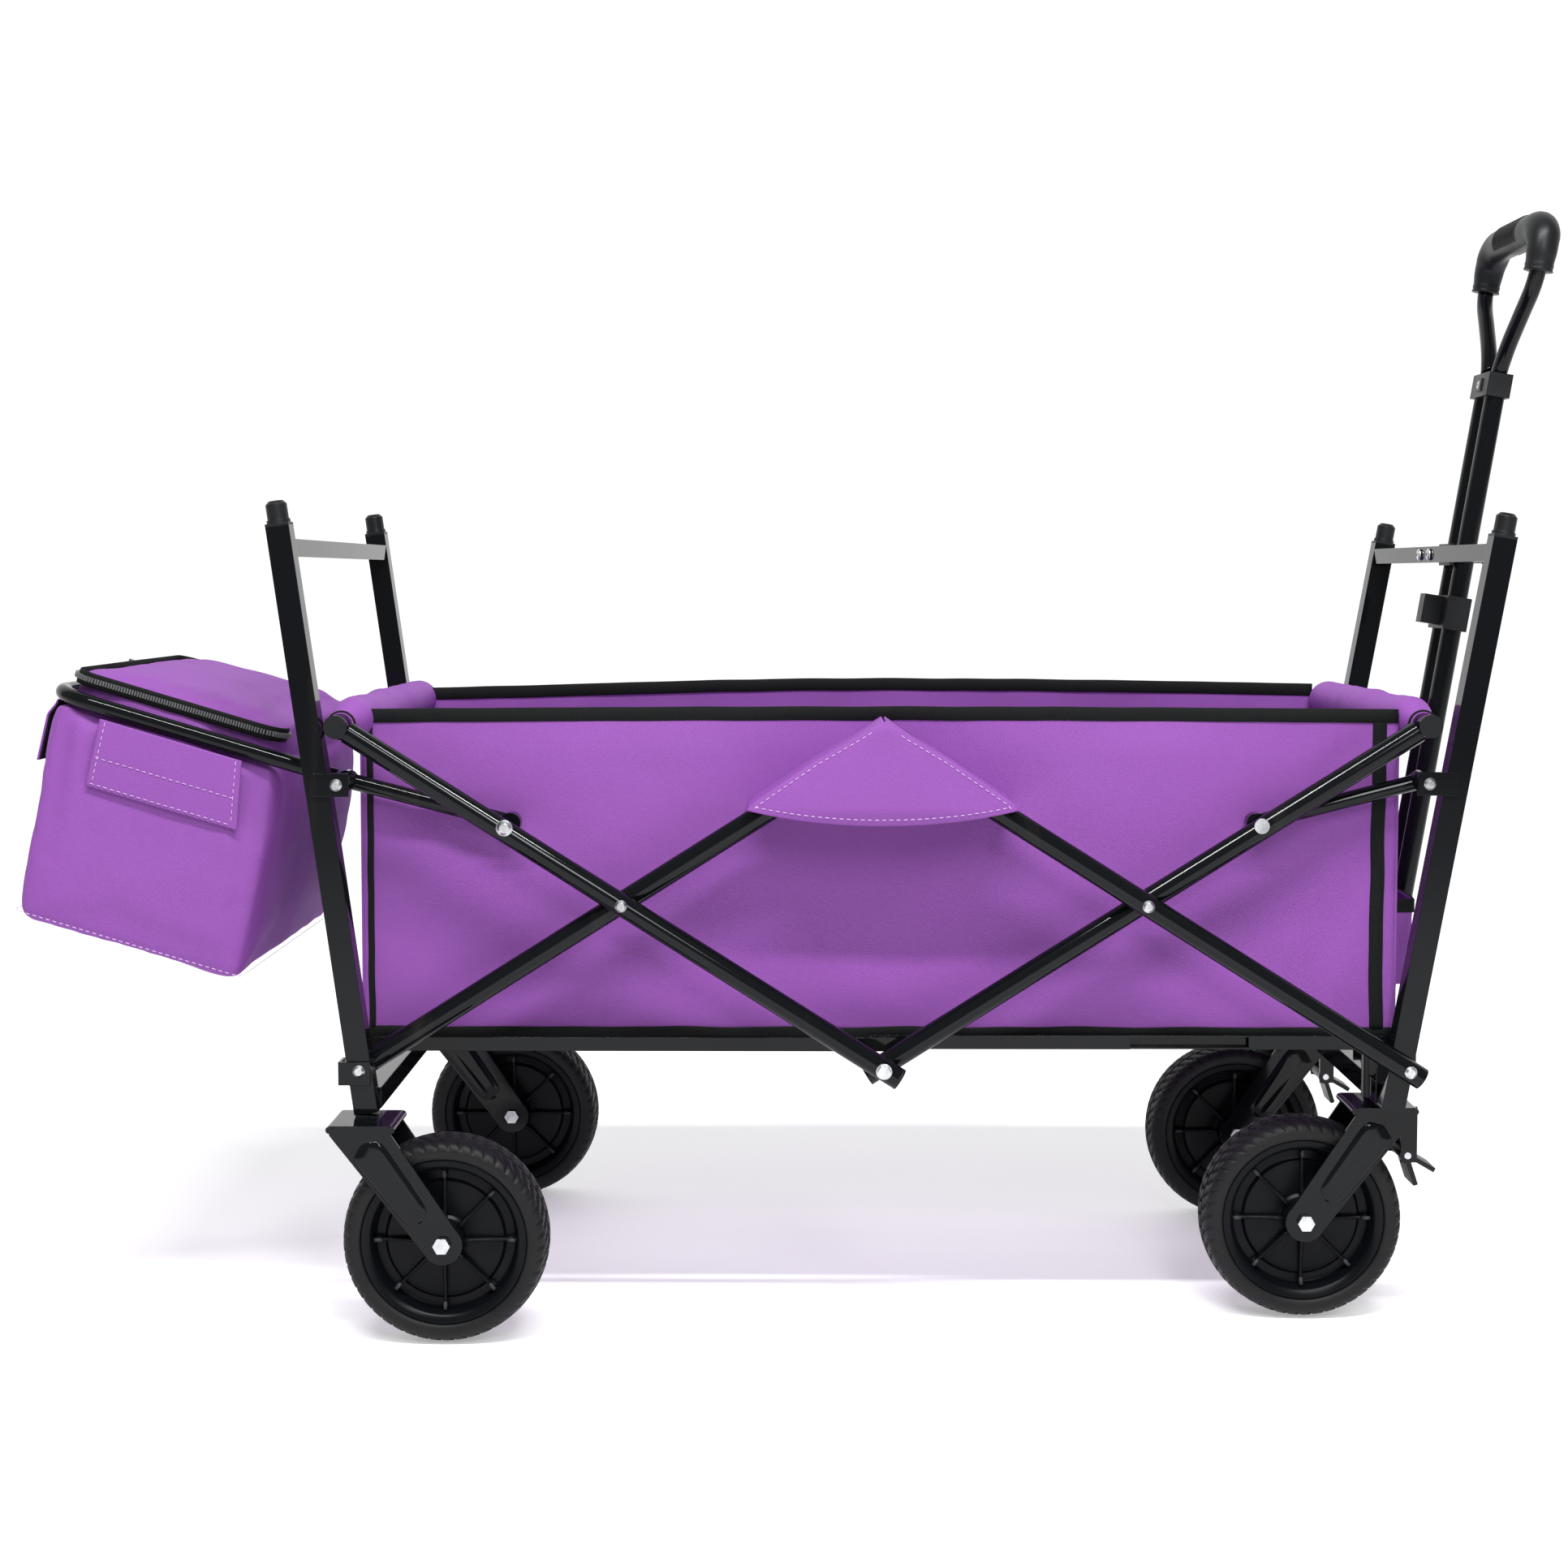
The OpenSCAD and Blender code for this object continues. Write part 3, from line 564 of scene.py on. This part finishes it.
for hand, s in (("left", 1), ("right", -1)):
    rear = [leg_rib(-440, s * 252, t, 1) for t in (1, -1)]
    front = [leg_rib(436, s * 172, t, -1) for t in (1, -1)]
    piece(f"rear_fork_ribs_{hand}", *merged(rear), PAINT, "rear_frame")
    piece(f"caster_fork_ribs_{hand}", *merged(front), PAINT, f"caster_{hand}")


# Pull handle


def smooth_line(corners, count):
    """A Catmull-Rom curve through corners."""
    out = []
    ext = [corners[0] * 2 - corners[1]] + corners + [corners[-1] * 2 - corners[-2]]
    for i in range(1, len(ext) - 2):
        p0, p1, p2, p3 = ext[i - 1:i + 3]
        for k in range(count):
            t = k / count
            out.append(0.5 * (2 * p1 + (p2 - p0) * t + (2 * p0 - 5 * p1 + 4 * p2 - p3) * t * t
                              + (3 * p1 - p0 - 3 * p2 + p3) * t ** 3))
    return out + [corners[-1]]


legs = []
for s in (1, -1):
    corners = [on_handle(0, s * y, h) for y, h in
               ((17.5, 330), (17.5, 480), (17.5, 606), (19, 620), (33, 642), (58, 668), (78, 688),
                (86, 706), (87, 728))]
    legs.append(sweep(smooth_line(corners, 8), 0.0074, 20))
grip_legs = piece("grip_tubes_bent", *merged(legs), PAINT, "handle_inner")
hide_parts("grip_tubes")


GRIP = 746


def grip_path():
    """The grip's middle line, across the handle and up it: two short legs, bends and a bar."""
    points = []
    for k in range(11):
        points.append((-87, 704 + 16 * k / 10))
    for k in range(1, 12):
        a = math.pi * k / 24
        points.append((-87 + 27 * (1 - math.cos(a)), 720 + 26 * math.sin(a)))
    for k in range(25):
        points.append((-60 + 120 * k / 24, GRIP))
    return points + [(-y, s) for y, s in reversed(points[:22])]


def grip_radius(t):
    """Half depth and half width: lips at the ends, thicker under the hand."""
    end = min(t, 1 - t)
    lip = 0.8 * (1 - ease(end / 0.018)) + 0.5 * (1 - ease(abs(end - 0.045) / 0.018))
    pad = 1.1 * ease((0.32 - abs(t - 0.5)) / 0.04)
    body = 12.4 + 1.9 * ease((0.46 - abs(t - 0.5)) / 0.2)
    return ((body + lip + pad * 0.4) / 1000, (body + lip + pad) / 1000)


grip_line = [on_handle(0, y, s) for y, s in grip_path()]
grip = piece("grip_shell", *sweep(grip_line, grip_radius, 32), PLASTIC, "handle_inner")
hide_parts("grip")
ridges = []
for k in range(15):
    y = -34 + 68 * k / 14
    arc = [-2.3 + 4.6 * j / 24 for j in range(25)]
    line = [on_handle(14.9 * math.sin(a), y, GRIP + 14.9 * math.cos(a)) for a in arc]
    ridges.append(sweep(line, 0.0011, 8))
piece("grip_ridges", *merged(ridges), PLASTIC, "handle_inner")
screw_turns = [k * math.pi / 12 for k in range(24)]
screw = [[on_handle(-11.2 - h, r * math.cos(a), 606 + r * math.sin(a)) for a in screw_turns]
         for r, h in ((4.2, 0), (4.0, 1.2), (2.9, 2.0), (1.2, 2.2), (1.1, 1.5))]
piece("handle_collar_screw", *rings(screw), STEEL, "handle_outer")

clip_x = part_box("handle_clip")[0].x
bar_low, bar_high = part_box("front_top_bar")
bar_z = (bar_low.z + bar_high.z) / 2
heads = []
for y in (-0.018, 0.018):
    heads.append(rings([[Vector((clip_x + 0.0012 - h / 1000, y + r * math.cos(a) / 1000,
                                 bar_z + r * math.sin(a) / 1000)) for a in screw_turns]
                        for r, h in ((5.6, 0), (5.4, 1.6), (4.2, 2.6), (1.8, 3.0), (1.6, 2.1))]))
piece("handle_clip_screws", *merged(heads), STEEL, "front_frame")


# Fabric tub


def side_push(x, z):
    """How far the side cloth stands out from its flat place, in millimetres."""
    edge = ease((446 - abs(x)) / 60) * ease((z - 250) / 45) * ease((530 - z) / 40)
    free = 1 - 0.6 * ease((abs(x) - 250) / 60)
    soft = 3.2 + 3.6 * rough(x, 0, z, 150, 1.3) + 1.7 * rough(x, 0, z, 62, 4.1)
    waves = math.sin((x * 0.55 + z) / 31 + 2 * rough(x, 0, z, 190, 7))
    pull = 2.4 * waves * ease((abs(x) - 120) / 260)
    crease = 1.1 * math.sin((x - 0.7 * z) / 14) * ease(1 - abs(abs(x) - 400) / 70)
    return edge * free * (soft + pull) + edge * crease


def side_point(s, x, z, out=0.0):
    """The side cloth, its top edge arched; the far side, s = 1, stands a little higher."""
    along = (x + 453) / 900
    arch = 3 + s + (4 + 1.6 * s) * math.sin(math.pi * along) + 2.3 * (1 + s) * ease(along / 0.5)
    crown = arch * ease((z - 470) / 60)
    return at(x, s * (TUB_HALF + side_push(x, z) + out), z + crown)


tub = []
for hand, s in (("left", 1), ("right", -1)):
    panel = piece(f"tub_side_{hand}", *sheet_mesh(
        lambda u, v: side_point(s, TUB_REAR + (TUB_FRONT - TUB_REAR) * u,
                                TUB_LOW + (TUB_HIGH - TUB_LOW) * v), 178, 56, 0.002), CLOTH, "tub")
    tub.append(panel)


def end_point(sign, y, z):
    edge = ease((186 - abs(y)) / 40) * ease((z - 250) / 40) * ease((500 - z) / 30)
    out = 2.0 * edge + 2.5 * edge * rough(0, y, z, 90, 3 + sign) + 8 * ease((z - 494) / 18)
    rear_gap = 6.5 if sign < 0 else 0
    return at(sign * (446.5 + out) - rear_gap, y, z)


for name, sign in (("rear", -1), ("front", 1)):
    panel = piece(f"tub_end_{name}", *sheet_mesh(
        lambda u, v: end_point(sign, -186 + 372 * u, TUB_LOW + 262 * v), 74, 52, 0.002), CLOTH, "tub")
    tub.append(panel)
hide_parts("tub_sides")
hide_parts("tub_ends")


def floor_half(x):
    """The floor pad thins at its fold lines and its ends."""
    from_fold = min(abs(x - fold) for fold in (PAD_REAR, -222, 0, 222, PAD_FRONT))
    return 1.4 + 3.4 * ease(from_fold / 14)


PAD_Z = 254.5
rows = []
for i in range(179):
    x = PAD_REAR + (PAD_FRONT - PAD_REAR) * i / 178
    h = floor_half(x)
    upper, under = [], []
    for k in range(41):
        y = -PAD_HALF + 2 * PAD_HALF * k / 40
        thin = ease((PAD_HALF - abs(y)) / 12)
        upper.append(at(x, y, PAD_Z + (1 + (h - 1) * thin) + 0.6 * rough(x, y, 0, 60) * thin))
        under.append(at(x, y, PAD_Z - (1 + (min(h, 3.4) - 1) * thin)))
    rows.append(upper + under[::-1])
floor_pad = piece("floor_pad", *rings(rows), CLOTH, "tub")
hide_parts("tub_floor")
tub.append(floor_pad)
seams = [[at(x, -178 + 356 * k / 40, 256.9) for k in range(41)]
         for x in (-224, -220, -2, 2, 220, 224)]
tub.append(piece("floor_stitching", *stitches(seams, Vector((0, 0, 1))), THREAD, "tub"))

# Black binding along the top and bottom edges and up both ends of each side, a little uneven
bindings = []
for s in (1, -1):
    out = Vector((0, s, 0))
    top_edge, low_edge, rear_edge, front_edge = [], [], [], []
    for k in range(121):
        x = -446 + 892 * k / 120
        top_edge.append(side_point(s, -452 + 898 * k / 120, 524 + 0.5 * rough(x, s, 0, 45)))
        low_edge.append(side_point(s, -451 + 895 * k / 120, 249 + 1.6 * rough(x, 2 * s, 0, 50), 0.8))
    for k in range(51):
        z = 252 + 270 * k / 50
        rear_edge.append(side_point(s, -445.5 + 1.2 * rough(0, s, 252 + 8 * k, 60), z, 0.8))
        front_edge.append(side_point(s, 430 + 2.4 * rough(0, 9 + s, 252 + 5.4 * k, 55), z, 0.8))
    for shift, facing in ((0.0008, out), (-0.0008, -out)):
        bindings.append(tape([p + out * shift for p in top_edge], facing, 0.0120, 0.0016))
    bindings.append(tape(low_edge, out, 0.0100, 0.0014))
    bindings.append(tape(rear_edge, out, 0.0055, 0.0014))
    bindings.append(tape(front_edge, out, 0.0120, 0.0014))
tub.append(piece("tub_binding", *merged(bindings), TRIM, "tub"))

# Hoods sewn to the tub over the upper ends of the middle scissor arms


def flap_edge(z):
    """Rear and front edge of the hood at a height."""
    table = [(440, -118, 114), (450, -116, 112), (456, -110, 107), (490, -60, 57), (510, -25, 23),
             (525, -1, 1)]
    for (z0, l0, r0), (z1, l1, r1) in zip(table, table[1:]):
        if z <= z1:
            t = (z - z0) / (z1 - z0)
            return l0 + (l1 - l0) * t, r0 + (r1 - r0) * t
    return table[-1][1:]


FLAP_SIDE = 0.18  # share of u that turns in to the tub, at each end
FLAP_Z, FLAP_RISE = 450, 75
flaps = []


def flap_point(s, u, v, out=0.0):
    """v runs up the hood, and at both ends of u it turns in to the tub, where it is sewn down."""
    z = FLAP_Z + FLAP_RISE * v
    rear, front = flap_edge(z)
    across = min(max((u - FLAP_SIDE) / (1 - 2 * FLAP_SIDE), 0), 1)
    hem = 1 - (2 * across - 1) ** 2
    x = rear + (front - rear) * across
    z -= 13 * (1 - v) ** 2 * hem
    swell = 1.6 * math.sin(math.pi * across) * ease((1 - v) / 0.1) + 1.0 * rough(x, s, z, 40, 5)
    y = 256.6 + swell - 5 * ease((452 - z) / 16) * hem + out
    inward = max(FLAP_SIDE - u, u - 1 + FLAP_SIDE, 0) / FLAP_SIDE
    return at(x, s * (y + (187 - y) * inward), z)


def flap_stitch(s, across, v):
    """A place on the hood's face, across it from 0 to 1, on top of the cloth."""
    return flap_point(s, FLAP_SIDE + (1 - 2 * FLAP_SIDE) * across, v, 1.2)


for s, hand in ((1, "left"), (-1, "right")):
    flap = piece(f"pivot_flap_{hand}",
                 *sheet_mesh(lambda u, v: flap_point(s, u, v), 100, 60, 0.0022), CLOTH, "tub")
    flaps.append(flap)
    lines = []
    for side in (0, 1):
        line = []
        for k in range(41):
            v = 0.05 + 0.82 * k / 40
            rear, front = flap_edge(FLAP_Z + FLAP_RISE * v)
            line.append(flap_stitch(s, abs(side - 4 / (front - rear)), v))
        lines.append(line)
    lines.append([flap_stitch(s, 0.02 + 0.96 * k / 40, 0.05) for k in range(41)])
    flaps.append(piece(f"pivot_flap_{hand}_stitching", *stitches(lines, Vector((0, s, 0))),
                       THREAD, "tub"))
    if hand == "left":
        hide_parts("tub_flaps")


# Pockets on the front end


def pocket_point(y0, u, v):
    """An open-topped pocket: u goes round it, v up it."""
    corner = [(449, -55), (468, -53), (471, -30), (471.5, 0), (471, 30), (468, 53), (449, 55)]
    place = u * (len(corner) - 1)
    i = min(int(place), len(corner) - 2)
    (x0, a0), (x1, a1) = corner[i], corner[i + 1]
    t = place - i
    x, y = x0 + (x1 - x0) * t, a0 + (a1 - a0) * t
    lip = 1.6 * ease((v - 0.8) / 0.2)
    crumple = 0.8 * rough(0, y, 80 * v, 24, 2) * ease((x - 452) / 8)
    return at(x + lip * ease((x - 449) / 10) + crumple, y0 + y, 288 + 74 * v)


def pocket_base(y0, u, v):
    """The pocket's flat bottom, from its wall to the tub's end."""
    return pocket_point(y0, u, 0).lerp(at(449, y0 - 55 + 110 * u, 288), v)


for hand, y0 in (("left", 100), ("right", -100)):
    walls = [sheet_mesh(lambda u, v: pocket_point(y0, u, v), 48, 24, 0.0018),
             sheet_mesh(lambda u, v: pocket_base(y0, u, v), 48, 6, 0.0018)]
    pocket = piece(f"cup_pocket_{hand}", *merged(walls), CLOTH, "tub")
    line = [pocket_point(y0, k / 48, 0.93) for k in range(49)]
    hem = piece(f"cup_pocket_{hand}_hem", *tape(line, Vector((1, 0, 0.001)), 0.012, 0.0016),
                TRIM, "tub")
    tub += [pocket, hem]
    if hand == "left":
        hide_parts("tub_pockets")


# Padded sleeves round the top tubes


top_low, top_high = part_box("rear_top_tube")
rear_x = ((top_low.x + top_high.x) / 2 - MID) * 1000
tube_z = (top_low.z + top_high.z) / 2 * 1000


def tube_ring(x, y, radii):
    """A ring round a top tube, with a radius for each of its angles."""
    return [at(x + r * math.cos(a), y, tube_z + r * math.sin(a))
            for a, r in zip(circle(len(radii)), radii)]


def sleeve(name, body, x, half):
    """A padded sleeve, fullest on top and towards the tub, thin at its ends, with two cuffs."""
    rows, core = [], []
    count, sides = 150, 40
    fullest = math.radians(50 if x < 0 else 130)
    for i in range(count + 1):
        y = -half + 2 * half * i / count
        ends = ease((half - abs(y)) / 36)
        radii = []
        for a in circle(sides):
            spot = (18 * math.cos(a), y, 18 * math.sin(a))
            full = (7.0 + 5.4 * math.cos(a - fullest) + 2.2 * rough(*spot, 70, 2)
                    + 1.0 * rough(*spot, 26, 5))
            radii.append(10.8 + ends * max(full, 1.5))
        rows.append(tube_ring(x, y, radii))
        core.append(tube_ring(x, y, [9.6] * sides))
    obj = piece(f"{name}_padding", *rings(rows + core[::-1], closed=True), CLOTH, body)
    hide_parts(name)
    for part, s in (("a", 1), ("b", -1)):
        cuff = tube_ring(x, s * (half - 3), [11.2] * sides)
        piece(f"{name}_cuff_{part}", *sweep(cuff, 0.0016, 8, closed=True), TRIM, body)


sleeve("rear_sleeve", "scissor_a", rear_x, 226)
sleeve("front_sleeve", "scissor_d", -rear_x, 206)


# Rear bag


def bag_section(n):
    """Back, front, half width and corner radius of the bag at a height over the rack."""
    if n > -8:
        return -253, -69, 187, 22
    t = (-8 - n) / 190
    bulge = 5 * math.sin(math.pi * t)
    return -261 + 17 * t - bulge * 0.5, -64 + 22 * t + bulge, 200.5 + bulge * 0.5, 9


def bag_ring(n, inset=0.0):
    """The bag's outline at a height, moved in by inset: places along and across the rack."""
    steps = 10
    back, front, half, radius = bag_section(n)
    back, front, half = back + inset, front - inset, half - inset
    ring = []
    for ca, cy, start in ((front - radius, half - radius, 0), (back + radius, half - radius, 1),
                          (back + radius, radius - half, 2), (front - radius, radius - half, 3)):
        for k in range(steps + 1):
            a = math.pi / 2 * (start + k / steps)
            ring.append((ca + radius * math.cos(a), cy + radius * math.sin(a)))
    return ring


def bag_shell():
    """The bag from its base, up its wall and round the lid's edge to the lid's middle."""
    levels = [(-198, 14), (-198, 3), (-196, 1)] + [(-190 + 14.3 * k, 0) for k in range(13)]
    levels += [(-9, 0), (-8.4, 2), (-7.9, 0), (2, 0), (13, 0), (20, 0), (25, 2), (27.5, 7),
               (28.8, 18), (30.5, 45), (31.5, 80)]
    return rings([[on_rack(a, y, n) for a, y in bag_ring(n, inset)] for n, inset in levels])


def puffed(obj, voxel, cap):
    """Remeshes a closed form evenly, lets Cloth swell it, and limits how far a point moves."""
    remesh = obj.modifiers.new("even", "REMESH")
    remesh.mode = "VOXEL"
    remesh.voxel_size = voxel
    bake(obj)
    mesh = obj.data
    rest = [v.co.copy() for v in mesh.vertices]
    cloth = obj.modifiers.new("swell", "CLOTH")
    cloth.settings.use_pressure = True
    cloth.settings.uniform_pressure_force = 4
    cloth.settings.effector_weights.gravity = 0
    for number in range(1, 21):
        scene.frame_set(number)
    bake(obj)
    scene.frame_set(1)
    for v, home in zip(obj.data.vertices, rest):
        step = v.co - home
        if step.length > cap:
            v.co = home + step * (cap / step.length)
    return obj


bag = piece("bag_body", *bag_shell(), CLOTH, "rack")
puffed(bag, 0.006, 0.0028)
for v in bag.data.vertices:
    x, y, z = (v.co.x - MID) * 1000, v.co.y * 1000, v.co.z * 1000
    a = (x - RACK_X) * math.cos(RACK) - (z - RACK_Z) * math.sin(RACK)
    n = (x - RACK_X) * math.sin(RACK) + (z - RACK_Z) * math.cos(RACK)
    lift = 1.8 * rough(x, y, z, 85, 2) + 0.9 * rough(x, y, z, 38, 6)
    if n < -12:
        corner = max(ease(1 - (a + 262) / 55), ease(1 - (-62 - a) / 45))
        wrinkle = math.sin(a / 5.5 + n / 45 + 2 * rough(x, y, z, 60, 9))
        lift += 2.6 * corner * ease((n + 120) / 60) * wrinkle
    v.co += v.normal * lift / 1000
smooth = bag.modifiers.new("smooth", "SMOOTH")
smooth.factor, smooth.iterations = 0.5, 2
bag.modifiers.new("fine", "SUBSURF").levels = 1
bake(bag)
bag.data.materials.clear()
bag.data.materials.append(CLOTH)
bag.data.shade_smooth()
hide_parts("rear_bag")
bag_pieces = [bag]


def bag_line(n, out, first=0.0, last=1.0, count=160):
    """Part of the line round the bag at a height, standing out from its wall."""
    ring = bag_ring(n, -out)
    ring.append(ring[0])
    points = [on_rack(a, y, n) for a, y in ring]
    lengths = [0.0]
    for a, b in zip(points, points[1:]):
        lengths.append(lengths[-1] + (b - a).length)
    line = []
    for k in range(count + 1):
        goal = lengths[-1] * (first + (last - first) * k / count)
        i = max(j for j in range(len(points) - 1) if lengths[j] <= goal + 1e-9)
        t = (goal - lengths[i]) / (lengths[i + 1] - lengths[i])
        line.append(points[i].lerp(points[i + 1], min(t, 1)))
    return line


def ring_tape(line, inner, thick):
    """A band between two lines round the bag."""
    inside = sum(line, Vector()) / len(line)
    rows = []
    for p, q in zip(line, inner):
        out = p - inside
        rise = (q - p).normalized()
        out = (out - rise * out.dot(rise)).normalized() * thick
        rows.append([p - out, p + out * 0.6, p.lerp(q, 0.15) + out, p.lerp(q, 0.85) + out,
                     q + out * 0.6, q - out])
    return rings(rows)


low_line, high_line = bag_line(12, 2.4, 0.0, 0.7), bag_line(24.5, 1.8, 0.0, 0.7)
bag_pieces.append(piece("bag_zip_tape", *ring_tape(low_line, high_line, 0.0012), TRIM, "rack"))
# The teeth use the zip's dark grey, a painted glint on black teeth
teeth = []
middle_line = [p.lerp(q, 0.52) for p, q in zip(low_line, high_line)]
zip_centre = sum(middle_line, Vector()) / len(middle_line)
lean_up = on_rack(0, 0, 1) - on_rack(0, 0, 0)
up = lean_up.normalized()
for p, t in resample(middle_line, 0.0024):
    out = t.cross(up)
    out = out if out.dot(p - zip_centre) > 0 else -out
    teeth.append(block((-0.0007, 0.0006, -0.0022), (0.0007, 0.0036, 0.0022),
                       lambda x, y, z: p + t * x + out * y + up * z))
bag_pieces.append(piece("bag_zip_teeth", *merged(teeth), ZIP_PAINTED_GLINT, "rack", smooth=False))


def wrap_flap(name, s):
    """The stitched cloth that comes round a side tube of the rack and is sewn down on the bag."""
    def point(u, v, out=0.0):
        bulge = (1.4 + 1.4 * rough(150 * u, 0, 60 * v, 30, 3)) * math.sin(math.pi * v)
        return on_rack(-217 + 127 * u + v * (3 + 9 * u),
                       s * (209.1 - 1.0 * v + 0.4 * bulge + out), -9 - 59 * v)
    flap = piece(name, *sheet_mesh(lambda u, v: point(u, v), 50, 40, 0.0018), CLOTH, "rack")
    edges = (0.04, 0.96)
    lines = [[point(0.04 + 0.92 * k / 40, v, 1.1) for k in range(41)] for v in (0.56, 0.95)]
    lines += [[point(u, 0.56 + 0.39 * k / 12, 1.1) for k in range(13)] for u in edges]
    lines += [[point(u, 0.06 + 0.5 * k / 16, 1.1) for k in range(17)] for u in edges]
    sewn = piece(f"{name}_stitching", *stitches(lines, Vector((0, s, 0))), THREAD, "rack")
    return [flap, sewn]


bag_pieces += wrap_flap("bag_wrap_left", 1) + wrap_flap("bag_wrap_right", -1)


def end_tab(name, y0):
    """A hook-and-loop tab over the rack's rear end: purple outside, black inside."""
    def point(u, v, out=0.0):
        y = y0 - 21 + 42 * u
        return on_rack(-265 - (1.5 + 6.0 * ease(v / 0.3) - 3.0 * v + out), y, -8.5 - 56 * v)

    def lining(u, v):
        return point(0.04 + 0.92 * u, 0.04 + 0.94 * v, -1.7)

    tab = piece(name, *sheet_mesh(lambda u, v: point(u, v), 14, 30, 0.0016), CLOTH, "rack")
    return [tab, piece(f"{name}_lining", *sheet_mesh(lining, 14, 24, 0.0014), TRIM, "rack")]


for hand, s in (("left", 1), ("right", -1)):
    bag_pieces += end_tab(f"bag_tab_{hand}", s * 150)

# The zip's slider and its pull, 370 mm along the zip
spot, heading = resample(bag_line(18.5, 5.0, 0.0, 0.7), 0.001)[370]
away = heading.cross(up)
away = away if away.dot(spot - zip_centre) > 0 else -away


def on_zip(x, y, z):
    return spot + heading * x / 1000 + away * y / 1000 + up * z / 1000


# The slider shares the teeth's painted glint grey
runner = [block((-5, -2, -4.5), (5, 3, 4.5), on_zip), block((-1.5, 2, -5), (1.5, 5.5, 5), on_zip),
          block((-2.2, 4.2, -21), (2.2, 5.6, -2), on_zip)]
bag_pieces.append(rounded(piece("bag_zip_slider", *merged(runner), ZIP_PAINTED_GLINT, "rack"), 0.0005))
bake(bag_pieces[-1])

# One row of thread round the base, each stitch facing away from the bag's middle
BASE_SEAM = -191
base_middle = on_rack(-150, 0, BASE_SEAM)
base_stitches = []
for p, t in resample(bag_line(BASE_SEAM, 1.0, 0.02, 0.98, 300), 0.0060):
    outward = (p - base_middle).normalized()
    base_stitches.append(stitches([[p - t * 0.0001, p + t * 0.0001]], outward, step=1.0))
bag_pieces.append(piece("bag_base_stitching", *merged(base_stitches), THREAD, "rack"))


# Each piece of the tub, the hoods and the bag gets its own copy of its mesh

for obj in tub:
    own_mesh(obj)
for obj in flaps:
    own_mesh(obj)
for obj in bag_pieces:
    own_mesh(obj)


# Floor, lights and camera


def floor_material():
    s = Shader("studio_floor")
    speck = s.noise(3, 4)
    return s.finish(s.ramp(speck, 0.3, 0.7, (0.84, 0.84, 0.85), (0.88, 0.88, 0.89)), 0.6,
                    Emission_Color=(1.0, 1.0, 1.0), Emission_Strength=0.34)


def wall_material():
    s = Shader("studio_wall")
    glow = s.ramp(s.noise(0.4, 2), 0.3, 0.7, (0.99, 0.99, 0.99), (1, 1, 1))
    s.tree.links.new(glow, s.bsdf.inputs["Emission Color"])
    return s.finish((0.0, 0.0, 0.0), 0.9, Emission_Strength=1.05)


def backdrop(name, corners, mat):
    """One flat face of the studio."""
    mesh = bpy.data.meshes.new(name)
    mesh.from_pydata(corners, [], [(0, 1, 2, 3)])
    mesh.materials.append(mat)
    obj = bpy.data.objects.new(name, mesh)
    scene.collection.objects.link(obj)


FLOOR_Z = -0.002
backdrop("studio_floor", [(-9, -6, FLOOR_Z), (9, -6, FLOOR_Z), (9, 3.2, FLOOR_Z), (-9, 3.2, FLOOR_Z)],
         floor_material())
backdrop("studio_wall", [(-9, 3, -1), (9, 3, -1), (9, 3, 8), (-9, 3, 8)], wall_material())

world = bpy.data.worlds.new("studio")
world.use_nodes = True
world.node_tree.nodes["Background"].inputs["Color"].default_value = (1.0, 1.0, 1.0, 1)
world.node_tree.nodes["Background"].inputs["Strength"].default_value = 0.27
scene.world = world


def softbox(name, place, target, width, depth, power):
    """A rectangular light that faces a target."""
    data = bpy.data.lights.new(name, "AREA")
    data.shape = "RECTANGLE"
    data.size, data.size_y, data.energy = width, depth, power
    obj = bpy.data.objects.new(name, data)
    scene.collection.objects.link(obj)
    obj.location = place
    obj.rotation_euler = (Vector(target) - Vector(place)).to_track_quat("-Z", "Y").to_euler()


softbox("key", (0.6, -2.9, 2.1), (0, 0, 0.4), 0.6, 1.2, 40)
softbox("strip", (0, -1.6, 3.0), (0, 0, 0.3), 2.6, 0.13, 125)

# The camera faces the wagon's right side and is tipped down a little
camera = bpy.data.cameras.new("camera")
camera.lens, camera.sensor_width, camera.shift_y = 57.49, 36, -0.031
view = bpy.data.objects.new("camera", camera)
view.location = at(-67.7, -2353.9, 646.6)
view.rotation_euler = (math.radians(90 - 3.63), 0, math.radians(0.471))
scene.collection.objects.link(view)
scene.camera = view

scene.view_settings.view_transform = "Standard"
